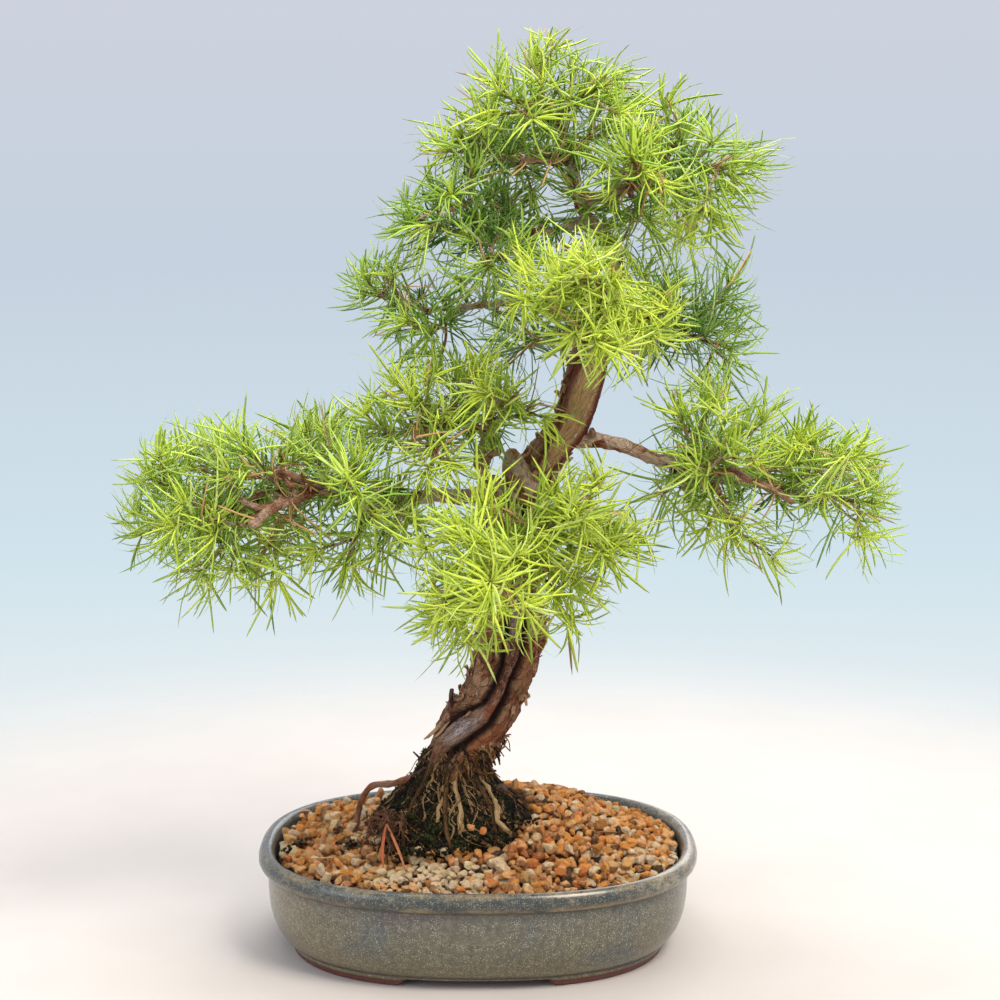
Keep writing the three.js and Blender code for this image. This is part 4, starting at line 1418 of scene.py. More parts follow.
# Dark peat on the granules beside the mound: its middle, how far it spreads, and how many crumbs.
PEAT_BESIDE = [
    ((19, -24, 62.5), (4, 2, 1.2), 70), ((-33, -40, 52), (4, 2, 1.2), 60), ((6, -35, 58), (7, 1.5, 1.2), 60),
    ((-20, -40, 53), (8, 1.5, 1.2), 60), ((-57.6, -18, 49), (2.6, 1.4, 0.8), 30),
    ((-80, -14, 48.5), (2, 1.3, 0.8), 16), ((-85, -23, 48), (1.6, 1.4, 0.8), 14),
]
# The first root leaves the mound on the left.
LEFT_ROOT = [(-27, -2, 77), (-38, -3, 73), (-48, -3, 71.5), (-52.5, -2, 66), (-55, 1, 56.5), (-56, 3, 42)]

# Roots on the front of the mound: how pale each is, its radii, and its course.
FRONT_ROOTS = [
    (0.8, (1.2, 0.7), (-3, -11, 92), (-5, -12, 90), (-10, -13, 86), (-13, -14, 82), (-15, -16, 78),
     (-16, -19, 74)),
    (0.9, (1.1, 1.75), (-4, -11, 91), (-6, -12, 88), (-8, -14, 82), (-10, -16, 78), (-10, -19, 74),
     (-8, -22, 70), (-7, -26, 66), (-8, -28, 63), (-8, -31, 58)),
    (0.85, (0.9, 0.45), (-9, -22, 70), (-12, -25, 67), (-13, -28, 63), (-11, -31, 60), (-12, -33, 56)),
    (0.75, (1.2, 0.8), (-8, -30, 60), (-5, -31, 58), (0, -32, 56), (4, -32, 53), (8, -31, 50),
     (11, -30, 47)),
    (0.75, (0.9, 0.5), (-8, -14, 80), (-6, -16, 77), (-5, -19, 74), (-3, -21, 70), (-3, -25, 65)),
    (0.95, (1.35, 1.2), (-6, -12, 88), (0, -11, 82), (2, -11, 78), (5, -13, 73), (7, -16, 70), (9, -20, 66),
     (9, -24, 63), (11, -27, 60), (15, -27, 57)),
    (0.85, (0.9, 0.6), (9, -17, 67), (11, -19, 63), (13, -21, 60), (14, -22, 57)),
    (0.9, (0.8, 1.1), (-9, -12, 87), (-12, -14, 81), (-14, -17, 76), (-15, -20, 72), (-17, -24, 68),
     (-18, -28, 62)),
    (0.8, (0.75, 0.45), (-18, -9, 88), (-19, -11, 83), (-21, -14, 78), (-23, -16, 74), (-24, -21, 69),
     (-24, -26, 62)),
    (0.5, (1.5, 0.7), (-12, -9, 93), (-15, -9, 91), (-18, -8, 88), (-22, -7, 85), (-26, -4, 82)),
    (0.25, (0.8, 0.5), (-22, -8, 84), (-25, -10, 79), (-28, -11, 74), (-30, -14, 70), (-33, -19, 64)),
    (0.15, (0.9, 0.5), (-25, -11, 77), (-31, -9, 73), (-36, -8, 69), (-39, -11, 64), (-41, -16, 58)),
    (0.7, (0.6, 0.4), (-18, -17, 75), (-18, -20, 72), (-17, -23, 69), (-15, -26, 66)),
    (0.45, (0.6, 0.4), (-2, -15, 77), (0, -17, 72), (2, -19, 69), (3, -23, 64)),
    (0.35, (0.75, 0.4), (-20, -5, 87), (-22, -9, 82), (-24, -12, 77), (-25, -15, 73), (-28, -18, 68),
     (-28, -23, 63)),
    (0.4, (0.9, 0.6), (-3, -12, 86), (3, -8, 82), (6, -5, 80), (10, -6, 75)),
]


def mound_radius(height: Array) -> Array:
    """The radius of the root mound at a height."""
    return np.interp(height, [z for _, z in MOUND], [r for r, _ in MOUND])


@dataclass
class Wood:
    """The stem, its branches and its roots, grown as one piece."""

    stem_sides: int = 148
    stem_rings: int = 312
    branch_sides: int = 24
    branch_step: float = 1.5
    stem_top: float = 297.0
    rootlet_count: int = 250
    tangle_count: int = 46
    crown_count: int = 210
    lines: dict[str, Array] = field(default_factory=dict)

    # Height and bearing of the furrows. 0 degrees faces the viewer and 90 the right.
    right_furrow: tuple = ((58, -40), (86, -26), (92, -12), (96, -2), (101, 5), (106, 15), (118, 19),
                           (127, 23), (136, 34), (152, 36), (165, 42), (185, 55), (205, 78))
    left_furrow: tuple = ((58, -95), (88, -72), (94, -58), (101, -48), (105, -38), (109, -30),
                          (112, -18), (118, -12), (130, -6), (150, -8), (175, 0), (200, 10))
    bare_strip: tuple = ((218, 4), (224, 9), (235, 17), (251, 17), (270, 29), (288, 34))
    bare_half: tuple = ((216, 8), (226, 24), (240, 42), (262, 44), (284, 36), (296, 20))

    flake_count: int = 300
    # Large curled flakes: the place, the aim, the facing and the size of each.
    large_flakes: tuple = (
        ((-17.2, -5, 99.5), (-0.8, -0.6, 0.8), (0.95, 0, 1), 13.0),
        ((-15.5, -7, 99), (-0.6, -0.9, 0.6), (0.9, 0, 1), 9.0),
        ((21.6, -4, 112.5), (1, -0.4, 0.2), (-0.3, 0, 1), 6.0))

    def __post_init__(self) -> None:
        """Lays the centre lines."""
        self.lines["leader"] = smooth_line([row[:3] for row in STEM], 401)
        for index, (name, branch) in enumerate(BRANCHES.items()):
            line = smooth_line(branch.course, 121)
            run = np.linspace(0, length_of(line) / 9.0, 121)
            sway = wander(run, index, (0, 1, 2), 7)
            self.lines[name] = line + 0.9 * sway * eased(0, 8, run * 9.0)[:, None]

    def stem_radius(self, share: Array) -> Array:
        """The stem's mean radius at shares of its length."""
        rows = np.array(STEM, float)
        along = np.concatenate([[0], np.cumsum(np.linalg.norm(np.diff(rows[:, :3], axis=0), axis=1))])
        return np.interp(share, along / along[-1], rows[:, 3])

    @staticmethod
    def groove(offset: Array, half: float) -> Array:
        """A furrow's depth from 0 to 1, with steep sides, at degrees away from its middle."""
        return 1 - eased(half * 0.3, half * 1.3, np.abs(offset))

    def stem(self) -> Surface:
        """The thick stem up to its dead tip, with its furrows, plates and bare strip."""
        whole = self.lines["leader"]
        top = int(np.argmax(whole[:, 2] > self.stem_top))
        line = evenly(whole[:top + 1], self.stem_rings)
        share = np.linspace(0, top / (len(whole) - 1), self.stem_rings)
        bearing = np.broadcast_to(np.degrees(once_round(self.stem_sides)), (self.stem_rings, self.stem_sides))
        z = np.broadcast_to(line[:, 2:3], bearing.shape)
        mean = self.stem_radius(share)[:, None]
        run = np.linspace(0, length_of(line), self.stem_rings)[:, None]
        courses = self.right_furrow, self.left_furrow, self.bare_strip, self.bare_half
        furrow_at, second_at, strip_at, strip_half = (np.interp(z, *zip(*rows)) for rows in courses)
        twisted = np.radians(bearing - furrow_at)
        grain = np.stack([13 * np.cos(twisted), 13 * np.sin(twisted), run + 0 * twisted], -1)
        fade, foot = 1 - eased(198, 222, z), 1 - eased(72, 90, z)
        ragged = 2.2 * rough_noise(grain * [0.1, 0.1, 0.22], 29, 3)

        def facing(middle: Array | float, width: float) -> Array:
            """How near the skin is to a bearing."""
            return bell(angle_apart(bearing, middle), 0, width)

        first = self.groove(angle_apart(bearing, furrow_at) + ragged, 10.5) * fade * eased(82, 90, z)
        second = self.groove(angle_apart(bearing, second_at) + ragged, 8.5) * fade * eased(81, 89, z)
        back = self.groove(angle_apart(bearing, 175 + 0.5 * furrow_at) + ragged, 5.0) * fade
        half_way = angle_apart(furrow_at, second_at) / 2
        across = np.abs(angle_apart(bearing, second_at + half_way) + ragged) / (np.abs(half_way) + 6)
        shade = 0.6 * (1 - eased(0.8, 1.2, across)) * fade * eased(86, 96, z)
        off_strip = np.abs(angle_apart(bearing, strip_at)) / (strip_half + 2 * ragged)
        bare = (1 - eased(0.86, 1.0, off_strip)) * eased(217, 222, z) * (1 - eased(284, 291, z))
        edge = bell(off_strip, 1.2, 0.16) * eased(216, 224, z)
        beside = bell(off_strip, 1.5, 0.4) * eased(214, 222, z)
        loose = 0.4 * rough_noise(grain / 7, 8, 3)[..., None]
        crack_gap, plate = cell_gaps(grain / [7.0, 7.0, 15.0] + loose, 21)
        small_gap, scale = cell_gaps(grain / [3.4, 3.4, 7.5] + loose, 41)
        covered = 1 - np.clip(bare + edge, 0, 1)
        crack = (1 - eased(0.02, 0.07, crack_gap)) * covered * (plate < 0.7)
        fine_crack = (1 - eased(0.02, 0.09, small_gap)) * covered
        fibre = rough_noise(grain * [0.5, 0.5, 0.07], 31, 4)
        lumps = rough_noise(grain * [0.12, 0.12, 0.05], 33, 3)
        crumb = rough_noise(grain * 0.9, 35, 3)
        middle = (furrow_at + second_at) / 2
        between = facing(middle, 9) * fade
        relief = (
            mean * 0.06 * np.cos(2 * np.radians(bearing) + 7 * share[:, None]) * fade
            - 3.2 * first - 2.6 * second - 2.4 * back
            + (1.7 * (plate - 0.4) - 0.8 * crack + 0.8 * (scale - 0.5) - 0.3 * fine_crack) * covered
            * (1 - 0.7 * between)
            + (0.35 * fibre + 0.2 * crumb) * (1 - 0.55 * bare)
            + 1.0 * lumps * fade + 1.0 * between - 1.3 * bare + 1.5 * edge + 0.5 * beside
            + 3.2 * bell(z, 143, 5.5) * facing(82, 24) + 1.4 * bell(z, 128, 5) * facing(95, 22)
            + 1.5 * bell(z, 102, 4) * facing(-86, 20)
            + 1.5 * foot * rough_noise(grain * [0.2, 0.2, 0.06], 39, 3)
        )
        radius = np.maximum(mean + relief, 1.0) * (1 - 0.55 * eased(291, self.stem_top, z))
        silver = between * (bell(z, 100, 6) + bell(z, 122, 5) + 0.8 * bell(z, 158, 14))
        silver = silver * eased(88, 93, z) * fade
        silver = 1.5 * silver * eased(-0.35, 0.2, fibre) + 0.4 * facing(-150, 40) * bell(z, 150, 40)
        # Orange-brown patches by the furrows; the orange on the right flank is partly painted light on that
        # side.
        orange = 1.4 * facing(furrow_at + 26, 15) * bell(z, 98, 8) + facing(middle + 4, 9) * bell(z, 112, 5)
        orange = orange + 0.5 * facing(62, 34) * fade * eased(0.3, 0.6, plate) + 0.35 * eased(0.6, 0.8, plate)
        marks = {
            # furrow: the dark of the furrows, strongest where they are deepest, partly inner bark and partly
            # painted shade.
            "furrow": np.maximum(np.maximum(first, second), back),
            "shade": np.clip(shade, 0, 1),
            "crack": np.clip(crack * 0.4 * eased(-0.2, 0.4, lumps), 0, 1),
            "bare": bare,
            "rolled": np.clip(edge + 0.7 * beside * (plate > 0.3), 0, 1) * (1 - bare),
            "silver": np.clip(silver, 0, 1),
            "orange": np.clip(orange, 0, 1),
            "scaly": covered * (1 - 0.8 * between),
            "moss": np.clip(foot + 0.3 * (1 - eased(84, 98, z)), 0, 1) * 0.8,
            "young": eased(214, 226, z) * 0.25,
            "rooty": foot * 0.9,
            "tan": 0.12 + 0.45 * plate,
        }
        made = tube(line, radius, sides_facing_viewer(line)).marked(grain=with_ends(grain))
        return made.marked(**{name: with_ends(values + 0 * z) for name, values in marks.items()})

    def leader(self) -> Surface:
        """The slim leader above the thick stem."""
        whole = self.lines["leader"]
        start = int(np.argmax(whole[:, 2] > self.stem_top - 14))
        share = np.linspace(start / (len(whole) - 1), 1, 96)
        thinner = 1 - 0.2 * eased(0.62, 0.8, share)
        mean = (self.stem_radius(share) * thinner)[:, None]
        return self.limb(evenly(whole[start:], 96), mean, 30, 5.0, young=0.8)

    def limb(self, line: Array, mean: Array, sides: int, shift: float, **marks: float) -> Surface:
        """Makes a rough round limb.

        Args:
            line: evenly spaced places along its middle.
            mean: its mean radius at each place, as a column.
            sides: how many sides it has.
            shift: moves the bark pattern, so that no two limbs are alike.
            **marks: marks of its whole surface.

        Returns:
            The limb.
        """
        angle = once_round(sides)
        run = np.linspace(0, length_of(line), len(line))[:, None]
        girth = np.maximum(mean, 2.0)
        grain = np.stack([girth * np.cos(angle) + 40 * shift, girth * np.sin(angle),
                          run + 0 * angle + 13 * shift], -1)
        knots = 0.08 * np.cos(3 * angle + run / 3.0) + 0.16 * rough_noise(grain * 0.22, 51, 3)
        rings = 0.22 * bell((run + 2 * shift) % 7.0, 3.5, 0.7) * np.minimum(mean, 2.0)
        flaky = 0.13 * np.minimum(mean, 3.5) * rough_noise(grain * [0.9, 0.9, 0.4], 53, 3)
        crack = 1 - eased(0.02, 0.12, cell_gaps(grain * [0.28, 0.28, 0.16], 55)[0])
        radius = mean * (1 + knots) + rings + flaky - 0.06 * mean * crack
        made = tube(line, np.maximum(radius, 0.35))
        return made.marked(grain=with_ends(grain), crack=with_ends(crack * 0.2), **{"scaly": 0.3, **marks})

    def branch(self, name: str, index: int) -> Surface:
        """Makes one branch, thicker where it leaves the stem.

        Args:
            name: which branch.
            index: its number.

        Returns:
            The branch.
        """
        start, end = BRANCHES[name].radii
        line = stepped(self.lines[name], self.branch_step, 8)
        share = np.linspace(0, 1, len(line))[:, None]
        mean = 0.82 * (start + (end - start) * share ** 0.8)
        root = self.stem_radius(np.array([0.6]))[0] if name != "upper" else 4.0
        mean = mean * (1 + 0.35 * bell(share * length_of(line), root, 4.5))
        if name == "stub":
            mean = mean * (1 - 0.3 * eased(0.75, 1.0, share)) + 1.6 * bell(share, 0.62, 0.2)
            return self.limb(line, mean, 52, index, scaly=0.2, young=1.0)
        return self.limb(line, mean, self.branch_sides, index, young=0.85)

    def root(self, row: tuple, index: int) -> Surface:
        """Makes a root from the foot of the stem, half sunk down the mound and into the soil.

        Args:
            row: its bearing, how far it swings, and its radius.
            index: its number. The first one stands off the mound on the left.

        Returns:
            The root.
        """
        bearing, swing, radius = row
        points = []
        for i, height in enumerate(ROOT_HEIGHTS):
            turn = math.radians(bearing + swing * math.sin(i / (len(ROOT_HEIGHTS) - 1) * math.pi * 1.3))
            reach = 6.0 if i == 0 else float(mound_radius(height)) + (-2 if i == 6 else 0.3)
            x, y = reach * math.cos(turn), reach * math.sin(turn)
            points.append((MOUND_X + x, y * MOUND_WIDTH_SHARE, height))
        if index == 0:
            points = [points[0], *LEFT_ROOT]
        line = stepped(smooth_line(points, 80), 1.5, 8)
        mean = radius * (1 - 0.45 * np.linspace(0, 1, len(line)))[:, None]
        if index == 0:
            return self.limb(line, mean * 0.74, 16, 20, young=0.25, orange=1.0)
        return self.limb(line, mean * 0.6, 12, 20 + index, rooty=1.0, tan=0.4, moss=0.2)

    def front_root(self, row: tuple, index: int) -> Surface:
        """Makes a crooked, knobbly root as seen on the front of the mound.

        Args:
            row: how pale it is, its radii, and its course.
            index: its number.

        Returns:
            The root.
        """
        pale, radii, *course = row
        line = stepped(smooth_line(course, 80), 0.9, 8)
        run = np.linspace(0, len(line) / 4, len(line))
        mean = 0.8 * np.linspace(*radii, len(line))[:, None] * (0.95 + 0.42 * wander(run * 1.4, index, (3,)))
        line = line + 0.7 * wander(run, index, (5, 6, 7))
        return self.limb(line, mean, 12, 40 + index, rooty=1.0, tan=pale)

    def knot(self, row: tuple, index: int) -> Surface:
        """Makes a gnarled spur.

        Args:
            row: its radii and its course.
            index: its number.

        Returns:
            The spur.
        """
        radii, *course = row
        line = stepped(smooth_line(course, 60), 0.9, 6)
        lumps = 1 + 0.3 * rough_noise(line * 0.35, index, 2)[:, None]
        mean = np.linspace(*radii, len(line))[:, None] * lumps
        return self.limb(line, mean, 16, 70 + index, scaly=0.6, orange=0.3 * (index < 2), young=0.3,
                         furrow=0.75 * (4 <= index < 8))

    def rootlets(self) -> list[Surface]:
        """Fine roots that hang all round the mound, and short dark ones that stand off it."""
        rng = np.random.default_rng(23)
        made = []
        for number in range(self.rootlet_count):
            loose = number % 4 == 0
            bearing = rng.uniform(0, 360) if number % 3 else rng.uniform(180, 350)
            top = rng.uniform(58, 92)
            heights = np.linspace(top, max(top - rng.uniform(8, 26), 44), 6)
            turns = np.radians(bearing + np.cumsum(rng.normal(0, 8, 6)))
            lift = np.linspace(0, rng.uniform(0, 4.5), 6) if loose else rng.uniform(-0.4, 0.5, 6)
            reach = mound_radius(np.minimum(heights, 86)) + lift
            points = np.stack([MOUND_X + (heights > 86) * 3 + reach * np.cos(turns),
                               reach * np.sin(turns) * MOUND_WIDTH_SHARE, heights], -1)
            radius = rng.uniform(0.16, 0.42)
            pale = 0.05 if loose else rng.choice([0.1, 0.35, 0.6, 0.9])
            made.append(thread(points.tolist(), (radius, radius * 0.5), 5, 1.6, rooty=1.0, tan=float(pale)))
        return made

    def tangle(self) -> list[Surface]:
        """The curly red-brown root ends to the left of the mound."""
        rng = np.random.default_rng(37)
        made = []
        for _ in range(self.tangle_count):
            start = np.array([rng.uniform(-50, -33), rng.uniform(-34, -12), 0.0])
            x, y, _ = start
            start[2] = 62 - 0.25 * (y + 23) - 0.35 * (x + 42) * (x < -42) + rng.uniform(-3, 4)
            steps = np.cumsum(rng.normal([0.4, -1.6, -2.0], [2.6, 1.4, 2.2], (5, 3)), axis=0)
            radius = rng.uniform(0.22, 0.6)
            made.append(thread([start, *(start + steps)], (radius, radius * 0.5), 5, 1.2, young=0.0,
                               rooty=float(rng.uniform(0.2, 0.9)), tan=0.2, orange=0.4))
        return made

    def crown(self) -> list[Surface]:
        """The tangle of short brown root ends where the stem meets the mat."""
        rng = np.random.default_rng(29)
        made = []
        for number in range(self.crown_count):
            bearing = math.radians(rng.uniform(0, 360) if number % 2 else rng.normal(262, 34))
            height = rng.uniform(79, 95)
            outward = np.array([math.cos(bearing), math.sin(bearing), 0])
            start = np.array([MOUND_X + 4.0 + (height - 86) * 0.55, 0, height]) + 13.5 * outward
            turn = np.cross(outward, [0, 0, 1]) * rng.normal(-0.5, 1.1)
            length = rng.uniform(4, 11)
            middle = start + length * 0.5 * unit(0.5 * outward + turn + [0, 0, -0.5])
            end = middle + length * 0.5 * unit(0.25 * outward + turn * 0.4 + [0, 0, rng.normal(-0.9, 0.5)])
            radius = rng.uniform(0.3, 0.9)
            made.append(thread([start - 2 * outward, start, middle, end], (radius, radius * 0.55), 7, 1.2,
                               rooty=1.0, tan=float(rng.choice([0.1, 0.25, 0.4, 0.6])), moss=0.1))
        return made

    def build(self) -> Surface:
        """Makes the wood as one piece, and gives the skin of its stem."""
        snag = smooth_line([(59, 0, 300), (61.5, -1, 309), (62.5, -1, 314)], 30)
        parts = [
            self.stem(), self.leader(),
            *(self.branch(name, i + 1) for i, name in enumerate(BRANCHES)),
            *(self.root(row, i) for i, row in enumerate(ROOTS)),
            *(self.front_root(row, i) for i, row in enumerate(FRONT_ROOTS)),
            *(self.knot(row, i) for i, row in enumerate(KNOTS)),
            self.limb(evenly(snag, 14), np.linspace(3.4, 1.2, 14)[:, None], 14, 70, furrow=0.7),
        ]
        bark = Bark().material()
        piece("wood_and_bark", joined(parts), bark, "bark", "wood")
        piece("fine_roots", joined(self.rootlets() + self.crown() + self.tangle()), bark, "bark")
        return parts[0]

    def flake(self, curl: float, seed: int) -> Surface:
        """A thin curled flake of bark, one unit long, closed on both sides."""
        rng = np.random.default_rng(seed)
        across, along = 4, 5
        u, v = np.meshgrid(np.linspace(-1, 1, across), np.linspace(-1, 1, along))
        half = 0.3 * (1 - 0.25 * v ** 2) * rng.uniform(0.6, 1.25, v.shape)
        x = u * half + 0.06 * v * rng.normal()
        y = v * 0.5 + 0.09 * rng.normal(size=v.shape)
        top = np.stack([x, y, curl * (u ** 2 * 0.35 + (v + 0.4) ** 2 * 0.45) + 0.05], -1).reshape(-1, 3)
        n = across * along
        faces: Faces = []
        for a in (i * across + j for i in range(along - 1) for j in range(across - 1)):
            faces.append((a, a + 1, a + across + 1, a + across))
            faces.append((n + a, n + a + across, n + a + across + 1, n + a + 1))
        border = [*range(across), *range(2 * across - 1, n, across), *range(n - 2, n - across - 1, -1),
                  *range(n - 2 * across, 0, -across)]
        faces += [(b, a, n + a, n + b) for a, b in zip(border, border[1:] + border[:1])]
        rim = np.clip(np.maximum(np.abs(u), np.abs(v)).ravel() * 1.6 - 0.6, 0, 1)
        return Surface(np.vstack([top, top - [0, 0, 0.05]]), faces, {"rim": np.concatenate([rim, rim * 0.5])})

    def flakes(self, stem: Surface, placing: Placing) -> None:
        """Lifts flakes of bark off the stem.

        Args:
            stem: the stem's skin.
            placing: sets the flakes.
        """
        rng = np.random.default_rng(31)
        rings, sides = self.stem_rings, self.stem_sides
        skin = stem.points[:-2].reshape(rings, sides, 3)
        bare, furrow, silver, rolled = (stem.marks[name][:-2].reshape(rings, sides)
                                        for name in ("bare", "furrow", "silver", "rolled"))
        spots, aims, faces, sizes = [], [], [], []
        while len(spots) < self.flake_count:
            i, j = int(rng.integers(int(rings * 0.14), int(rings * 0.93))), int(rng.integers(sides))
            if bare[i, j] + furrow[i, j] + silver[i, j] > 0.4 or rolled[i, j] > 0.1:
                continue
            along = unit(skin[i + 3, j] - skin[i - 3, j])
            around = unit(skin[i, (j + 2) % sides] - skin[i, j - 2])
            normal = unit(np.cross(around, along))
            spots.append(skin[i, j] + 0.15 * normal)
            aims.append(unit(normal + 0.3 * rng.normal(size=3)))
            faces.append(unit(along + 0.35 * rng.normal(size=3)))
            sizes.append(rng.uniform(2.0, 5.6))
        for spot, aim, face, size in self.large_flakes:
            spots.append(np.array(spot, float))
            aims.append(unit(np.array(aim, float)))
            faces.append(unit(np.array(face, float)))
            sizes.append(size)
        size = np.array(sizes)
        wide = np.where(size > 8, size * 0.24, size)
        kinds, tints = rng.integers(0, 4, len(spots)), rng.random(len(spots))
        tints[-len(self.large_flakes):] = 1.0
        seeds = Seeds(np.array(spots), np.array(aims), np.stack([wide, size, size], -1), kinds,
                      {"face": np.array(faces), "tint": tints})
        forms = [self.flake(curl, 80 + i) for i, curl in enumerate((0.12, 0.3, 0.5, -0.1))]
        finish = LooseBark().material()
        placing.make("bark_flakes", "bark", seeds, forms, finish, smooth=True, roll=0.0, seed=3)


# The root mound

@dataclass
class Mound:
    """The mat of peat and old roots under the stem, with moss on it."""

    sides: int = 150
    rings: int = 64
    tufts: int = 560
    crumb_count: int = 2300

    def body(self) -> Surface:
        """The mound's rough skin."""
        heights = np.linspace(22, 86.5, self.rings)
        line = np.stack([np.full(self.rings, MOUND_X), np.zeros(self.rings), heights], -1)
        angle = once_round(self.sides)
        level = heights[:, None]
        mean = mound_radius(heights)[:, None]
        spots = np.stack([mean * np.cos(angle), mean * np.sin(angle), level + 0 * angle], -1)
        exposed = eased(38, 46, level)
        swirl = np.arctan2(-np.cos(angle), np.sin(angle))
        wave = 0.05 * np.sin(5 * swirl + level) + 0.035 * np.sin(11 * swirl - 0.6 * level)
        rough = 1.5 * rough_noise(spots / 6.5, 61, 4) + 0.9 * rough_noise(spots * [0.35, 0.35, 0.1], 63, 3)
        moss = np.clip(0.5 + 1.3 * soft_noise(spots / 11.0, 65), 0, 1) * exposed
        made = tube(line, mean * (1 + 0.6 * wave) + exposed * rough - 0.6, sides_facing_viewer(line))
        made.points[:, 1] *= MOUND_WIDTH_SHARE
        return made.marked(moss=with_ends(moss))

    def tuft(self, leaves: int, seed: int) -> Surface:
        """A tuft of small pointed moss leaves, one unit tall."""
        rng = np.random.default_rng(seed)
        points, faces = [], []
        for i in range(leaves):
            turn = i * GOLDEN_ANGLE + rng.uniform(-0.4, 0.4)
            lean = rng.uniform(0.2, 0.8)
            tip = np.array([math.cos(turn) * lean, math.sin(turn) * lean, rng.uniform(0.6, 1.0)])
            across = np.array([-math.sin(turn), math.cos(turn), 0]) * 0.16
            foot = np.array([math.cos(turn), math.sin(turn), 0]) * 0.12
            a, b, c, d, e, f = range(len(points), len(points) + 6)
            points += [foot - across, foot + across, foot * 2.4 - [0, 0, 0.12],
                       foot + tip * 0.5 + across * 0.8, foot + tip * 0.5 - across * 0.8, foot + tip]
            faces += [(a, e, d, b), (e, f, d), (b, d, c), (d, f, c), (f, e, c), (e, a, c), (a, b, c)]
        return Surface(np.array(points, float), faces, {"along": np.array([0, 0, 0, 0.5, 0.5, 1.0] * leaves)})

    def build(self, placing: Placing) -> None:
        """Makes the mound and sets moss on it."""
        body = self.body()
        mound = piece("root_mat", body, Peat().material(), "peat", "root_mound")
        rng = np.random.default_rng(67)
        normals = np.array([v.normal[:] for v in mound.data.vertices])
        chance = body.marks["moss"] ** 1.5 * (body.points[:, 2] > 46)
        picks = rng.choice(len(chance), self.tufts, replace=False, p=chance / chance.sum())
        aims = unit(normals[picks] + [0, 0, 0.35] + rng.normal(0, 0.2, (self.tufts, 3)))
        heights = rng.uniform(1.0, 2.3, self.tufts)
        seeds = Seeds(body.points[picks] - 0.15 * normals[picks], aims, heights[:, None] * [1.1, 1.1, 1.0],
                      rng.integers(0, 3, self.tufts), {"tint": rng.random(self.tufts)})
        forms = [self.tuft(5, 70 + i) for i in range(3)]
        placing.make("moss_tufts", "peat", seeds, forms, Moss().material(), seed=9)
        self.crumbs(body, placing)

    def crumbs(self, body: Surface, placing: Placing) -> None:
        """Sets crumbs of dark peat on the mound and on the soil beside it.

        Args:
            body: the mound's skin.
            placing: sets the crumbs.
        """
        rng = np.random.default_rng(69)
        chance = (body.points[:, 2] > 40) * (body.points[:, 2] < 84) * 1.0
        picks = rng.choice(len(chance), self.crumb_count, p=chance / chance.sum())
        places = body.points[picks] + rng.normal(0, 0.5, (self.crumb_count, 3))
        beside = [np.array(middle) + rng.normal(0, 1, (share, 3)) * wide
                  for middle, wide, share in PEAT_BESIDE]
        places = np.vstack([places, *beside])
        count = len(places)
        sizes = rng.uniform(0.8, 2.6, count)[:, None] * rng.uniform(0.7, 1.2, (count, 3))
        seeds = Seeds(places, unit(rng.normal(size=places.shape)), sizes, rng.integers(0, 3, count),
                      {"tint": rng.random(count), "moss": (rng.random(count) < 0.35) * 1.0,
                       "pale": 0.8 * rng.random(count) ** 5})
        lumps = []
        for kind in range(3):
            base = ball(1)
            swell = 1 + 0.5 * rough_noise(base.points * 4 + 5 * kind, kind, 2)[:, None]
            lumps.append(Surface(base.points * swell, base.faces))
        placing.make("peat_crumbs", "peat", seeds, lumps, Peat().material(), seed=12)


# The leaves

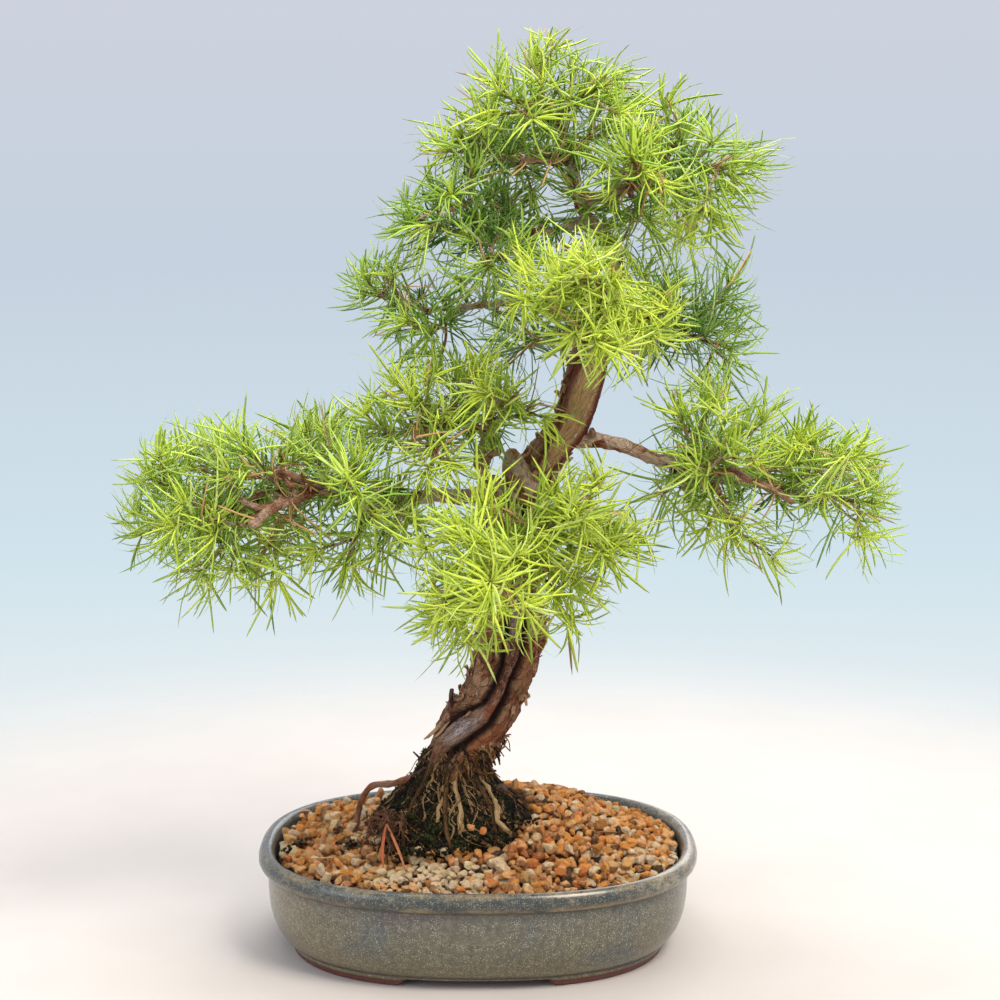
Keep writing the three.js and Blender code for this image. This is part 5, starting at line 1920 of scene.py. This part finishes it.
# The sprays: the branch that carries each, how far along it the spray starts, and its tip.
SPRAYS = [
    ("left", 1.0, (-147, -15, 191)), ("left", 0.95, (-141, -24, 217)), ("left", 0.86, (-127, 8, 226)),
    ("left", 0.84, (-129, -47, 200)), ("left", 0.78, (-119, -28, 177)), ("left", 0.7, (-97, -36, 230)),
    ("left", 0.66, (-98, 10, 176)), ("left", 0.58, (-80, 16, 229)), ("left", 0.52, (-55, -50, 221)),
    ("left", 0.46, (-57, -24, 180)), ("left", 0.36, (-37, 22, 186)),
    ("upper_left", 1.0, (-46, -18, 235)), ("upper_left", 0.88, (-27, -34, 253)),
    ("upper_left", 0.72, (-8, -6, 257)), ("upper_left", 0.62, (14, -42, 254)),
    ("upper_left", 0.84, (-20, -52, 227)),
    ("front", 1.0, (6, -98, 187)), ("front", 0.92, (-5, -84, 205)), ("front", 0.84, (39, -74, 210)),
    ("front", 0.7, (57, -50, 194)), ("front", 0.76, (-12, -66, 166)), ("front", 0.56, (33, -52, 174)),
    ("right", 0.5, (103, -14, 247)), ("right", 0.56, (108, -46, 234)), ("right", 0.62, (112, -22, 193)),
    ("right", 0.76, (143, 8, 225)), ("right", 1.0, (173, -12, 204)), ("right", 0.94, (160, -30, 228)),
    ("right", 0.46, (97, 18, 199)),
    ("mid_left", 1.0, (-48, 0, 295)), ("mid_left", 0.86, (-20, -14, 279)),
    ("upper", 1.0, (-27, -10, 329)), ("upper", 0.86, (-10, -24, 339)), ("upper", 0.72, (12, 14, 335)),
    ("upper", 0.8, (5, -24, 310)),
    ("leader", 1.0, (25, -5, 393)), ("leader", 0.975, (51, -12, 385)), ("leader", 0.955, (10, -18, 382)),
    ("leader", 0.93, (60, 18, 373)),
    ("apex_left", 1.0, (-6, -13, 363)), ("apex_left", 0.7, (13, 20, 362)),
    ("upper_right", 1.0, (107, -27, 351)), ("upper_right", 0.9, (90, -6, 366)),
    ("upper_right", 0.62, (65, -43, 357)), ("upper_right", 0.8, (101, -12, 330)),
    ("upper_right", 0.5, (76, 14, 327)),
    ("back_right", 1.0, (112, 58, 286)), ("back_right", 0.86, (115, 42, 266)),
    ("back_right", 0.62, (84, 52, 290)),
    ("middle", 1.0, (45, -82, 312)), ("middle", 0.86, (21, -62, 298)), ("middle", 0.76, (50, -86, 284)),
    ("middle", 0.62, (73, -56, 285)),
    ("back_left", 1.0, (14, 58, 264)),
]
# How the leaves of the leader are.
LEADER = Branch((), (2.6, 1.9), 0.27, 0.80, (13, 21))

# Short shoots beside the sprays: the number of the spray that carries it, and its tip.
SIDE_TIPS = [
    (2, (-136, -36, 229)), (4, (-113, -44, 204)), (6, (-106, -42, 223)), (6, (-76, -30, 226)),
    (4, (-94, -46, 200)), (9, (-64, -24, 238)), (9, (-44, -52, 206)), (7, (-88, -22, 172)),
    (13, (-14, -44, 249)), (14, (0, -32, 264)), (15, (4, -48, 258)), (15, (28, -38, 246)),
    (17, (-12, -90, 178)), (17, (20, -92, 176)), (18, (-20, -72, 196)), (19, (50, -58, 220)),
    (20, (67, -44, 196)), (22, (40, -44, 160)), (21, (-4, -60, 154)),
    (24, (98, -40, 222)), (24, (122, -40, 244)), (26, (139, -30, 233)), (28, (150, -40, 214)),
    (27, (166, -28, 192)), (25, (128, -30, 184)), (23, (92, -8, 236)),
    (31, (-30, -26, 286)), (30, (-36, -14, 304)), (33, (-20, -28, 326)), (35, (18, -32, 318)),
    (35, (-6, -30, 304)), (38, (24, -30, 372)), (36, (38, -20, 380)), (37, (60, -24, 374)),
    (44, (59, -34, 343)), (44, (78, -46, 345)), (42, (96, -40, 338)), (45, (88, -34, 322)),
    (46, (62, -18, 318)), (43, (74, -26, 362)), (40, (4, -26, 370)), (41, (24, 2, 340)),
    (50, (56, -78, 300)), (51, (34, -78, 306)), (53, (66, -66, 296)),
    (48, (104, 30, 254)), (49, (74, 34, 300)), (49, (92, 40, 278)),
]

# Where the old wood shows between the leaves: its place, and how wide the gap in front of it is.
GAPS = [
    ((-91, -47, 205), 8.5), ((-80, -40, 211), 6.5), ((-79, -44, 222), 6.0), ((-70, -32, 214), 5.0),
    ((111, -36, 221), 7.0), ((124, -32, 215), 5.5), ((13, -66, 207), 3.2), ((-26, -39, 242), 5.5),
    ((24, -20, 354), 6.0), ((44, -10, 350), 5.0), ((66, -26, 342), 5.0), ((-44, -12, 295), 4.0),
]
# Tufts of dry tan needles: the number of the spray that carries each, and its place.
DRY_TUFTS = [
    (9, (-80, -38, 211)), (9, (-72, -33, 216)), (4, (-92, -44, 203)), (9, (-86, -43, 222)),
    (7, (-84, -34, 203)), (24, (112, -36, 221)), (24, (106, -26, 225)), (28, (128, -34, 214)),
    (23, (100, -16, 226)), (19, (16, -64, 206)), (18, (9, -66, 208)), (19, (24, -60, 201)),
    (16, (-26, -38, 243)), (13, (-25, -36, 236)), (38, (20, -20, 354)), (38, (32, -14, 352)),
    (44, (66, -26, 344)), (44, (75, -32, 347)), (31, (-30, -12, 291)), (41, (8, -10, 358)),
]

# How far a needle with a bow of 1 sways, as a share of its width.
SWAY = 18.6


@dataclass
class Shoot:
    """What one spray grows: its needles, and the wood that carries them."""

    name: str
    needles: list[tuple[Array, ...]] = field(default_factory=list)
    wood: list[Surface] = field(default_factory=list)


@dataclass
class Foliage:
    """Every leafy spray: soft needles all along its shoots, and rosettes of them on short spurs."""

    wood: Wood
    pitch: float = 0.7
    width: float = 1.04
    droop: float = 0.10
    bows: tuple[float, ...] = (0.1, 0.24, 0.38, 0.55, 0.25, -0.2, 0.75)
    hooks: tuple[float, ...] = (0.08, 0.2, 0.26, 0.18, 0.45, 0.5, 0.45)
    form_shares: tuple[float, ...] = (0.07, 0.16, 0.25, 0.21, 0.13, 0.08, 0.10)
    dry_forms: tuple[int, ...] = (3, 4, 6)
    shortest: float = 5.0
    spur_gap: float = 9.0
    shoot_gap: float = 13.0
    branch_gap: float = 6.0
    shoots: list[Shoot] = field(default_factory=list)

    def needle(self, bow: float, hook: float) -> Surface:
        """One soft curved needle, flat above and keeled below, one unit long and wide."""
        points, along = [], []
        for t, half in ((0.0, 0.32), (0.2, 0.47), (0.48, 0.5), (0.74, 0.46), (0.93, 0.36)):
            sway = SWAY * (bow * t ** 2 + hook * t ** 4)
            points += [(half, sway, t), (-half, sway, t), (0, sway - half * 0.66, t)]
            along += [t] * 3
        last = len(points) - 3
        points.append((0, SWAY * (bow + hook), 1.0))
        along.append(1.0)
        turns = ((0, 1), (1, 2), (2, 0))
        faces = [(i + j, i + k, i + 3 + k, i + 3 + j) for i in range(0, last, 3) for j, k in turns]
        faces += [(last + j, last + k, last + 3) for j, k in turns]
        faces.append((2, 1, 0))
        return Surface(np.array(points, float), faces, {"along": np.array(along, float)})

    def add(self, shoot: Shoot, bases: Array, aims: Array, ahead: Array, reaches: Array, ages: Array,
            withered: float, rng: Random) -> None:
        """Adds needles to a spray.

        Args:
            shoot: the spray.
            bases: where the needles start.
            aims: which way they start out.
            ahead: which way their shoot grows, to which their tips turn.
            reaches: their lengths.
            ages: how old they are, from 0 to 1, partly painted shade.
            withered: the share of them that is dead.
            rng: the source of random numbers.
        """
        count = len(bases)
        along = np.atleast_2d(ahead).mean(0)
        together = (0.9 if ahead.ndim > 1 else -0.3) * along + [0, 0, 0.35] + rng.normal(0, 0.45, 3)
        faces = unit(together + rng.normal(0, 0.3, (count, 3)))
        dead = rng.random(count) < withered
        reaches = reaches * np.where(dead, rng.uniform(0.3, 0.6, count), 1)
        ages = np.clip(ages + rng.normal(0, 0.08, count), 0, 1)
        shoot.needles.append((bases, unit(aims), faces, reaches, ages, dead * 1.0))

    def plume(self, shoot: Shoot, line: Array, start: float, age: float, reach: tuple[float, float],
              rng: Random, pitch: float, tuft: int) -> None:
        """Sets needles all along a shoot, and a tuft of them at its tip.

        Args:
            shoot: the spray that it belongs to.
            line: the shoot.
            start: the share of the shoot where its needles start.
            age: how old its leaves are, from 0 to 1, partly painted shade.
            reach: the shortest and the longest of its needles.
            rng: the source of random numbers.
            pitch: the distance along the shoot from one needle to the next.
            tuft: the number of needles at its tip.
        """
        falls = float(eased(-0.05, -0.45, unit(line[-1] - line[0])[2]))
        count = max(8, round(length_of(line) * (1 - start) / pitch * (1 - 0.35 * falls)))
        order = (np.arange(count) + 0.6 * rng.random(count)) / count
        spot = (start + (1 - start) * order) * (len(line) - 1)
        low = np.minimum(spot.astype(int), len(line) - 2)
        places = line[low] + (line[low + 1] - line[low]) * (spot - low)[:, None]
        ahead = unit(np.gradient(line, axis=0))[low]
        turn = np.arange(count) * GOLDEN_ANGLE + rng.uniform(0, 6.28) + rng.normal(0, 0.3, count)
        outward = radial(ahead, turn, (0.31, 0.2, 0.93))
        lean = np.radians(78 - 30 * order ** 2 + rng.normal(0, 9, count))[:, None]
        aims = np.cos(lean) * ahead + np.sin(lean) * outward + [0, 0, 0.16]
        longer = np.where(rng.random(count) < 0.12, 1.35, 1.08) + 0.3 * falls
        reaches = rng.uniform(*reach, count) * (1 - 0.42 * order ** 4) * longer
        # Needles nearer the foot of the shoot come out older and darker: partly real, partly painted shade
        # deep in the pad.
        ages = age + 0.42 * (1 - order) - 0.1
        self.add(shoot, places + 0.45 * outward, aims, ahead, reaches, ages, 0.03 + 0.03 * (1 - start), rng)
        full = tuft > 20
        self.bunch(shoot, line[-1], ahead[-1] + ([0, -0.9, 0.1] if full else [0, 0, 0.1]), tuft,
                   (4, 86 if full else 70), (0.92 + 0.2 * falls) * reach[1], age - 0.16, rng)

    def bunch(self, shoot: Shoot, centre: Array, axis: Array, count: int, spread: tuple[float, float],
              reach: float, age: float, rng: Random, withered: float = 0.02) -> None:
        """Adds a rosette of needles.

        Args:
            shoot: the spray that it belongs to.
            centre: where the rosette grows.
            axis: which way it faces.
            count: how many needles it has.
            spread: the lean of its innermost and outermost needles in degrees.
            reach: the needles' length.
            age: how old the leaves are, from 0 to 1, partly painted shade.
            rng: the source of random numbers.
            withered: the share of them that is dead.
        """
        axis = unit(axis)
        order = (np.arange(count) + 0.5) / count
        inner, outer = spread
        lean = np.radians(inner + (outer - inner) * order ** 0.65 + rng.normal(0, 8, count))[:, None]
        turn = np.arange(count) * GOLDEN_ANGLE + rng.uniform(0, 6.28) + rng.normal(0, 0.25, count)
        outward = radial(axis, turn, (0.3, 0.9, 0.2))
        aims = np.cos(lean) * axis + np.sin(lean) * outward
        reaches = reach * rng.uniform(0.78, 1.12, count) * (0.6 + 0.4 * order)
        bases = centre + axis * 0.5 + outward * 0.5
        self.add(shoot, bases, aims, axis, reaches, age + 0.1 * order, withered, rng)

    def spur(self, shoot: Shoot, place: Array, axis: Array, radius: float = 1.1) -> Array:
        """Adds the short brown spur that carries a rosette, and gives the place of its end."""
        end = place + unit(axis) * 2.2
        line = np.linspace(place - unit(axis) * 0.6, end, 4)
        radii = radius * np.array([0.8, 1.0, 1.1, 0.75])[:, None] * np.ones(6)
        shoot.wood.append(tube(line, radii).grained(young=1.0, crack=0.25))
        return end

    def twig(self, shoot: Shoot, line: Array, radii: tuple[float, float], sides: int, seed: int) -> None:
        """Adds the wood of one shoot, brown at its foot and green at its young tip."""
        path = stepped(line, 2.2, 5)
        share = np.linspace(0, 1, len(path))[:, None]
        start, end = radii
        knots = 1 + 0.16 * soft_noise(path * 0.9, seed)[:, None] * np.ones(sides)
        green = with_ends(eased(0.55, 0.95, share) * np.ones(sides))
        shoot.wood.append(tube(path, (start + (end - start) * share) * knots).grained(young=1.0, fresh=green))

    def habit(self, branch: str) -> Branch:
        """How the leaves of a branch, or of the leader, are."""
        return BRANCHES.get(branch) or LEADER

    def grow(self, index: int) -> Shoot:
        """Grows one spray on its branch."""
        branch, share, tip = SPRAYS[index]
        rng = np.random.default_rng(300 + index)
        shoot = Shoot(f"needles_{branch}_{index + 1:02d}")
        start, _ = at_share(self.wood.lines[branch], share)
        end = np.array(tip, float)
        bow = (((index * 7) % 5) - 1.5) * 0.05 * np.linalg.norm(end - start)
        line = bow_line(start, (start + end) / 2 + [0, 0, bow], end, 41)
        length = length_of(line)
        self.twig(shoot, line, (1.25, 0.7), 8, index)
        habit = self.habit(branch)
        age, reach = habit.age + rng.normal(0, 0.06), habit.reach
        self.plume(shoot, line, 0.24, age, reach, rng, self.pitch / habit.fullness, habit.rosette + 1)
        turn = rng.uniform(0, 6.28)
        for spot in np.arange(0.14, 0.62, self.spur_gap / length):
            place, ahead = at_share(line, spot + 0.03 * rng.random())
            turn += GOLDEN_ANGLE + rng.normal(0, 0.3)
            axis = unit(radial(ahead, turn) + 0.4 * ahead + [0, 0, 0.3])
            base = self.spur(shoot, place, axis)
            self.bunch(shoot, base, axis, round(16 * habit.fullness ** 0.5), (8, 94),
                       rng.uniform(reach[0] * 0.75, reach[1] * 0.85), age + 0.22, rng, 0.05)
        shoots = max(1, round(length / self.shoot_gap * habit.fullness ** 0.5))
        for number in range(shoots):
            place, ahead = at_share(line, 0.30 + 0.5 * (number + 0.5 * rng.random()) / shoots)
            turn += GOLDEN_ANGLE * 1.7
            way = unit(0.8 * ahead + 0.75 * radial(ahead, turn) + [0, 0, 0.18])
            self.side_shoot(shoot, place, place + way * rng.uniform(12, 19), age, habit, rng)
        for far in (np.array(tip, float) for owner, tip in SIDE_TIPS if owner == index + 1):
            off = np.linalg.norm(line[8:34] - far, axis=1) + np.linspace(6, 0, 26)
            self.side_shoot(shoot, line[np.argmin(off) + 8], far, age - 0.04, habit, rng)
        return shoot

    def side_shoot(self, shoot: Shoot, place: Array, far: Array, age: float, habit: Branch,
                   rng: Random) -> None:
        """Adds a side shoot from a place on a twig to its tip."""
        line = bow_line(place, (place + far) / 2 + rng.normal(0, 1.2, 3) - [0, 0, 0.8], far, 21)
        self.twig(shoot, line, (0.8, 0.5), 6, int(rng.integers(999)))
        reach = (habit.reach[0] * 0.85, habit.reach[1] * 0.95)
        self.plume(shoot, line, 0.2, age, reach, rng, 0.85 / habit.fullness, round(habit.rosette * 0.78))

    def dry_tufts(self) -> None:
        """Adds the tufts of dry curled needles that are caught on the old wood."""
        rng = np.random.default_rng(640)
        for owner, place in DRY_TUFTS:
            axis = rng.normal(0, 0.7, 3) + [0, -0.5, 0.3]
            shoot = self.shoots[owner - 1]
            self.bunch(shoot, np.array(place, float), axis, 5, (15, 110), 23.0, 0.5, rng, 1.0)

    def in_gap(self, bases: Array, tips: Array) -> Array:
        """Tells which needles would hide the old wood.

        Args:
            bases: where the needles start.
            tips: where they end.

        Returns:
            True for each needle that crosses a gap.
        """
        hidden = np.zeros(len(bases), bool)
        eye = np.array(CAMERA_PLACE)
        for place, radius in GAPS:
            ray = unit(np.array(place, float) - eye)
            depth = (np.array(place) - eye) @ ray
            for share in (0.0, 0.3, 0.6, 0.9):
                spot = bases + (tips - bases) * share - eye
                off = np.linalg.norm(spot - (spot @ ray)[:, None] * ray, axis=1)
                hidden |= (off < radius) & (spot @ ray < depth + 1)
        return hidden

    def leaf_branches(self) -> None:
        """Grows rosettes on the branches themselves, each for the nearest spray."""
        rng = np.random.default_rng(500)
        for name, line in self.wood.lines.items():
            habit = self.habit(name)
            own = [i for i, row in enumerate(SPRAYS) if row[0] == name]
            length = length_of(line)
            start, end = habit.radii
            spot, turn = habit.leafy, 0.0
            while spot < 0.99 and own:
                place, ahead = at_share(line, spot)
                turn += GOLDEN_ANGLE
                outward = radial(ahead, turn)
                axis = unit(outward + 0.3 * ahead + [0, 0, 0.4])
                shoot = self.shoots[min(own, key=lambda i: abs(SPRAYS[i][1] - spot))]
                base = self.spur(shoot, place + outward * (start + (end - start) * spot) * 0.7, axis, 1.3)
                reach = rng.uniform(*habit.reach) * 0.85
                self.bunch(shoot, base, axis, 17, (12, 98), reach, habit.age + 0.24, rng, 0.10)
                spot += self.branch_gap / length

    def inside_box(self, bases: Array, aims: Array, sways: Array, reaches: Array) -> Array:
        """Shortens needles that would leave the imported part's box.

        Args:
            bases: where the needles start.
            aims: which way they start out.
            sways: how far their tips bend away.
            reaches: their lengths.

        Returns:
            The lengths that fit.
        """
        low, high = ((np.array(corner) - POT_PLACE) * 1000 for corner in CAD_BOX)
        up = (high - 1.0 - bases - np.maximum(sways, 0)) / np.maximum(aims, 1e-3)
        down = (low + 1.0 - bases - np.minimum(sways, 0) + [0, 0, 3]) / np.minimum(aims, -1e-3)
        return np.minimum(reaches, np.where(aims > 0, up, down).min(-1))

    def build(self, placing: Placing) -> None:
        """Grows every spray and makes its piece, and one piece for all their twigs."""
        self.shoots = [self.grow(index) for index in range(len(SPRAYS))]
        self.leaf_branches()
        self.dry_tufts()
        forms = [self.needle(*row) for row in zip(self.bows, self.hooks)]
        leaf = Leaf().material()
        total = 0
        for index, shoot in enumerate(self.shoots):
            branch = SPRAYS[index][0]
            rng = np.random.default_rng(700 + index)
            bases, aims, faces, reaches, ages, dead = (np.concatenate(rows) for rows in zip(*shoot.needles))
            count = len(bases)
            kinds = rng.choice(len(self.bows), count, p=self.form_shares)
            kinds = np.where(dead > 0, rng.choice(self.dry_forms, count), kinds)
            thick = self.width * self.habit(branch).thick * rng.uniform(0.84, 1.16, count)
            across = unit(faces - aims * (faces * aims).sum(-1, keepdims=True))
            sways = across * (np.add(self.bows, self.hooks)[kinds] * SWAY * thick)[:, None]
            reaches = self.inside_box(bases, aims, sways, reaches)
            hiding = self.in_gap(bases, bases + aims * reaches[:, None] + sways) & (dead < 0.5)
            fits = (reaches > self.shortest) & ~hiding
            seeds = Seeds(bases[fits], aims[fits], np.stack([thick, thick, reaches], -1)[fits], kinds[fits],
                          {"face": across[fits], "age": ages[fits], "tint": rng.random(count)[fits],
                           "dead": dead[fits]})
            total += int(fits.sum())
            placing.make(shoot.name, "foliage", seeds, forms, leaf, f"spray_{branch}_{index + 1:02d}",
                         smooth=True, droop=self.droop, roll=0.0, seed=30 + index)
        twigs = joined([part for shoot in self.shoots for part in shoot.wood])
        piece("twigs_and_spurs", twigs, Bark().material(), "bark")
        LOG.info("%d needles", total)


# Litter

# Each bit: its course, half its width, its curl, its tint, and how tan it is.
LITTER = [
    (((-40, -38, 65), (-41, -42, 61), (-41.5, -47, 54.5), (-40.8, -51.5, 47.5)), 0.75, 0.2, 0.95, 0.1),
    (((-40, -38, 65), (-36.5, -43, 59), (-33.5, -47, 53), (-31, -51, 47)), 0.75, 0.2, 0.9, 0.35),
    (((-73.7, -36, 48.2), (-66.7, -36.5, 48.8), (-57.7, -36, 48.4)), 0.6, 0.1, 0.1, 0.9),
    (((-85, 37, 46), (-81.9, 37, 46.8), (-79, 37, 46.3)), 1.5, 0.5, 0.55, 0.4),
    (((-84.3, -12, 47), (-81.3, -12, 47.9), (-78.3, -12, 47.2)), 1.9, 0.3, 0.2, 0.0),
    (((-60.6, -18, 48), (-57.6, -18.5, 48.8), (-54.6, -18, 48.1)), 1.7, 0.3, 0.25, 0.0),
    (((54.8, -16, 53.8), (58.8, -17, 54.4), (62.8, -16, 53.8)), 1.1, 0.4, 0.6, 0.2),
    (((30, 32, 60), (36, 34, 60.2), (42, 33, 59.6)), 1.2, 0.4, 0.8, 0.3),
]


@dataclass
class Litter:
    """Old leaf scales, a fallen needle and bits of bark on the granules."""

    rings: int = 10
    sides: int = 10

    def leaf(self, points: list, half: float, curl: float) -> Surface:
        """A dry leaf scale along a course, curled across, and closed."""
        line = evenly(smooth_line(points, 40), self.rings)
        angle = once_round(self.sides)
        share = np.linspace(0, 1, self.rings)[:, None]
        wide = half * np.sin(math.pi * (0.08 + 0.9 * share)) ** 0.7
        ahead = unit(np.gradient(line, axis=0))
        across = unit(np.cross(ahead, [0.0, 0.0, 1.0]))
        up = np.cross(across, ahead)
        x = wide * np.cos(angle)
        z = 0.3 * np.sin(angle) + curl * np.cos(angle) ** 2 * wide
        body = line[:, None] + across[:, None] * x[..., None] + up[:, None] * z[..., None]
        skin = np.vstack([body.reshape(-1, 3), body[0].mean(0), body[-1].mean(0)])
        return Surface(skin, skin_faces(self.rings, self.sides))

    def build(self) -> None:
        """Makes the litter as one piece."""
        parts = [self.leaf(list(points), half, curl).marked(tint=tint, rim=rim)
                 for points, half, curl, tint, rim in LITTER]
        piece("litter", joined(parts), DryLitter().material(), "bark")


# The studio

@dataclass
class Studio:
    """The camera, the lamps and the pale floor."""

    camera_pitch: float = 0.18
    camera_reach: float = 2412.6
    floor_tone: str = "#cbc4bd"
    heights: tuple[float, ...] = (-0.36, -0.28, -0.2, -0.08, 0.05)
    skies: tuple[str, ...] = ("#faf3ec", "#ebf2f3", "#d1e3ec", "#c6d2df", "#ced2de")

    def camera(self) -> None:
        """Stands the camera where the photograph was taken from."""
        data = bpy.data.cameras.new("camera")
        data.sensor_width = 36
        data.lens = self.camera_reach / 1000 * 36
        camera = shown("camera", data)
        camera.location = Vector(to_frame(np.array(CAMERA_PLACE)))
        camera.rotation_euler = (math.pi / 2 - self.camera_pitch, 0, 0)
        bpy.context.scene.camera = camera

    def lamp(self, name: str, place: tuple, aim: tuple, size: float, power: float, tone: str) -> None:
        """Hangs one soft square lamp.

        Args:
            name: its name.
            place: where it hangs, in metres.
            aim: the place that it faces, in metres.
            size: the length of its side in metres.
            power: its power in watts.
            tone: its colour.
        """
        data = bpy.data.lights.new(name, "AREA")
        data.size = size
        data.energy = power
        data.color = colour(tone)[:3]
        lamp = shown(name, data)
        lamp.location = place
        lamp.rotation_euler = (Vector(aim) - Vector(place)).to_track_quat("-Z", "Y").to_euler()

    def floor(self) -> None:
        """Lays a wide pale floor that fades into the background."""
        line = np.array([[0, 0, z] for z in (-9.0, -7.0, -5.0, -2.0, -0.02)])
        disc = tube(line, np.full((5, 96), 3600.0))
        disc.points[-1, 2] = -0.02
        r = Recipe("pale_floor")
        place = r.place()
        away = r.step("ShaderNodeVectorMath", {0: place}, operation="LENGTH").outputs["Value"]
        tone = r.blend(r.span(r.noise(place, 14, 4, 0.5), 0.3, 0.7), self.floor_tone, "#c7c0b9")
        material = r.finish(tone, 0.7, None, 0.0, 0.0, Specular_IOR_Level=0.2,
                            Alpha=r.span(away, 0.26, 0.62, 1.0, 0.0))
        shown("floor", mesh_of("floor", disc), material)

    def sky(self) -> None:
        """Surrounds the part with a pale sky, warm below and cool above."""
        world = bpy.data.worlds.new("studio")
        world.use_nodes = True
        tree = world.node_tree
        low, high = self.heights[0], self.heights[-1]
        way = node_in(tree, "ShaderNodeTexCoord", {}).outputs["Generated"]
        up = node_in(tree, "ShaderNodeSeparateXYZ", {0: way}).outputs["Z"]
        rise = node_in(tree, "ShaderNodeMapRange", {"Value": up, "From Min": low, "From Max": high})
        ramp = node_in(tree, "ShaderNodeValToRGB", {0: rise.outputs["Result"]})
        stops = ramp.color_ramp.elements
        for number, (height, tone) in enumerate(zip(self.heights, self.skies)):
            place = (height - low) / (high - low)
            stop = stops[number] if number < 2 else stops.new(place)
            stop.position = place
            stop.color = colour(tone)
        feed(tree, tree.nodes["Background"].inputs[0], ramp.outputs["Color"])
        bpy.context.scene.world = world
        bpy.context.scene.view_settings.view_transform = "Standard"

    def build(self) -> None:
        """Sets up the studio."""
        self.camera()
        self.floor()
        self.lamp("key", (0.8, -0.8, 1.7), (0, 0, 0.2), 0.8, 33, "#fff5e8")
        self.lamp("fill", (-1.4, -1.1, 0.9), (0, 0, 0.2), 1.2, 10, "#f4f6ff")
        self.lamp("top", (-0.1, 0.3, 1.8), (0, 0, 0.2), 1.0, 19, "#ffffff")
        self.lamp("back", (0.5, 1.5, 1.0), (0, 0, 0.25), 1.0, 8, "#ffffff")
        self.sky()


def main() -> None:
    """Builds the part's looks and writes how large it came out."""
    logging.basicConfig(level=logging.INFO, format="%(message)s")
    placing = Placing()
    Studio().build()
    Pot().build()
    Gravel().build(placing)
    Mound().build(placing)
    wood = Wood()
    wood.flakes(wood.build(), placing)
    Foliage(wood).build(placing)
    Litter().build()


if __name__ == "__main__":
    main()
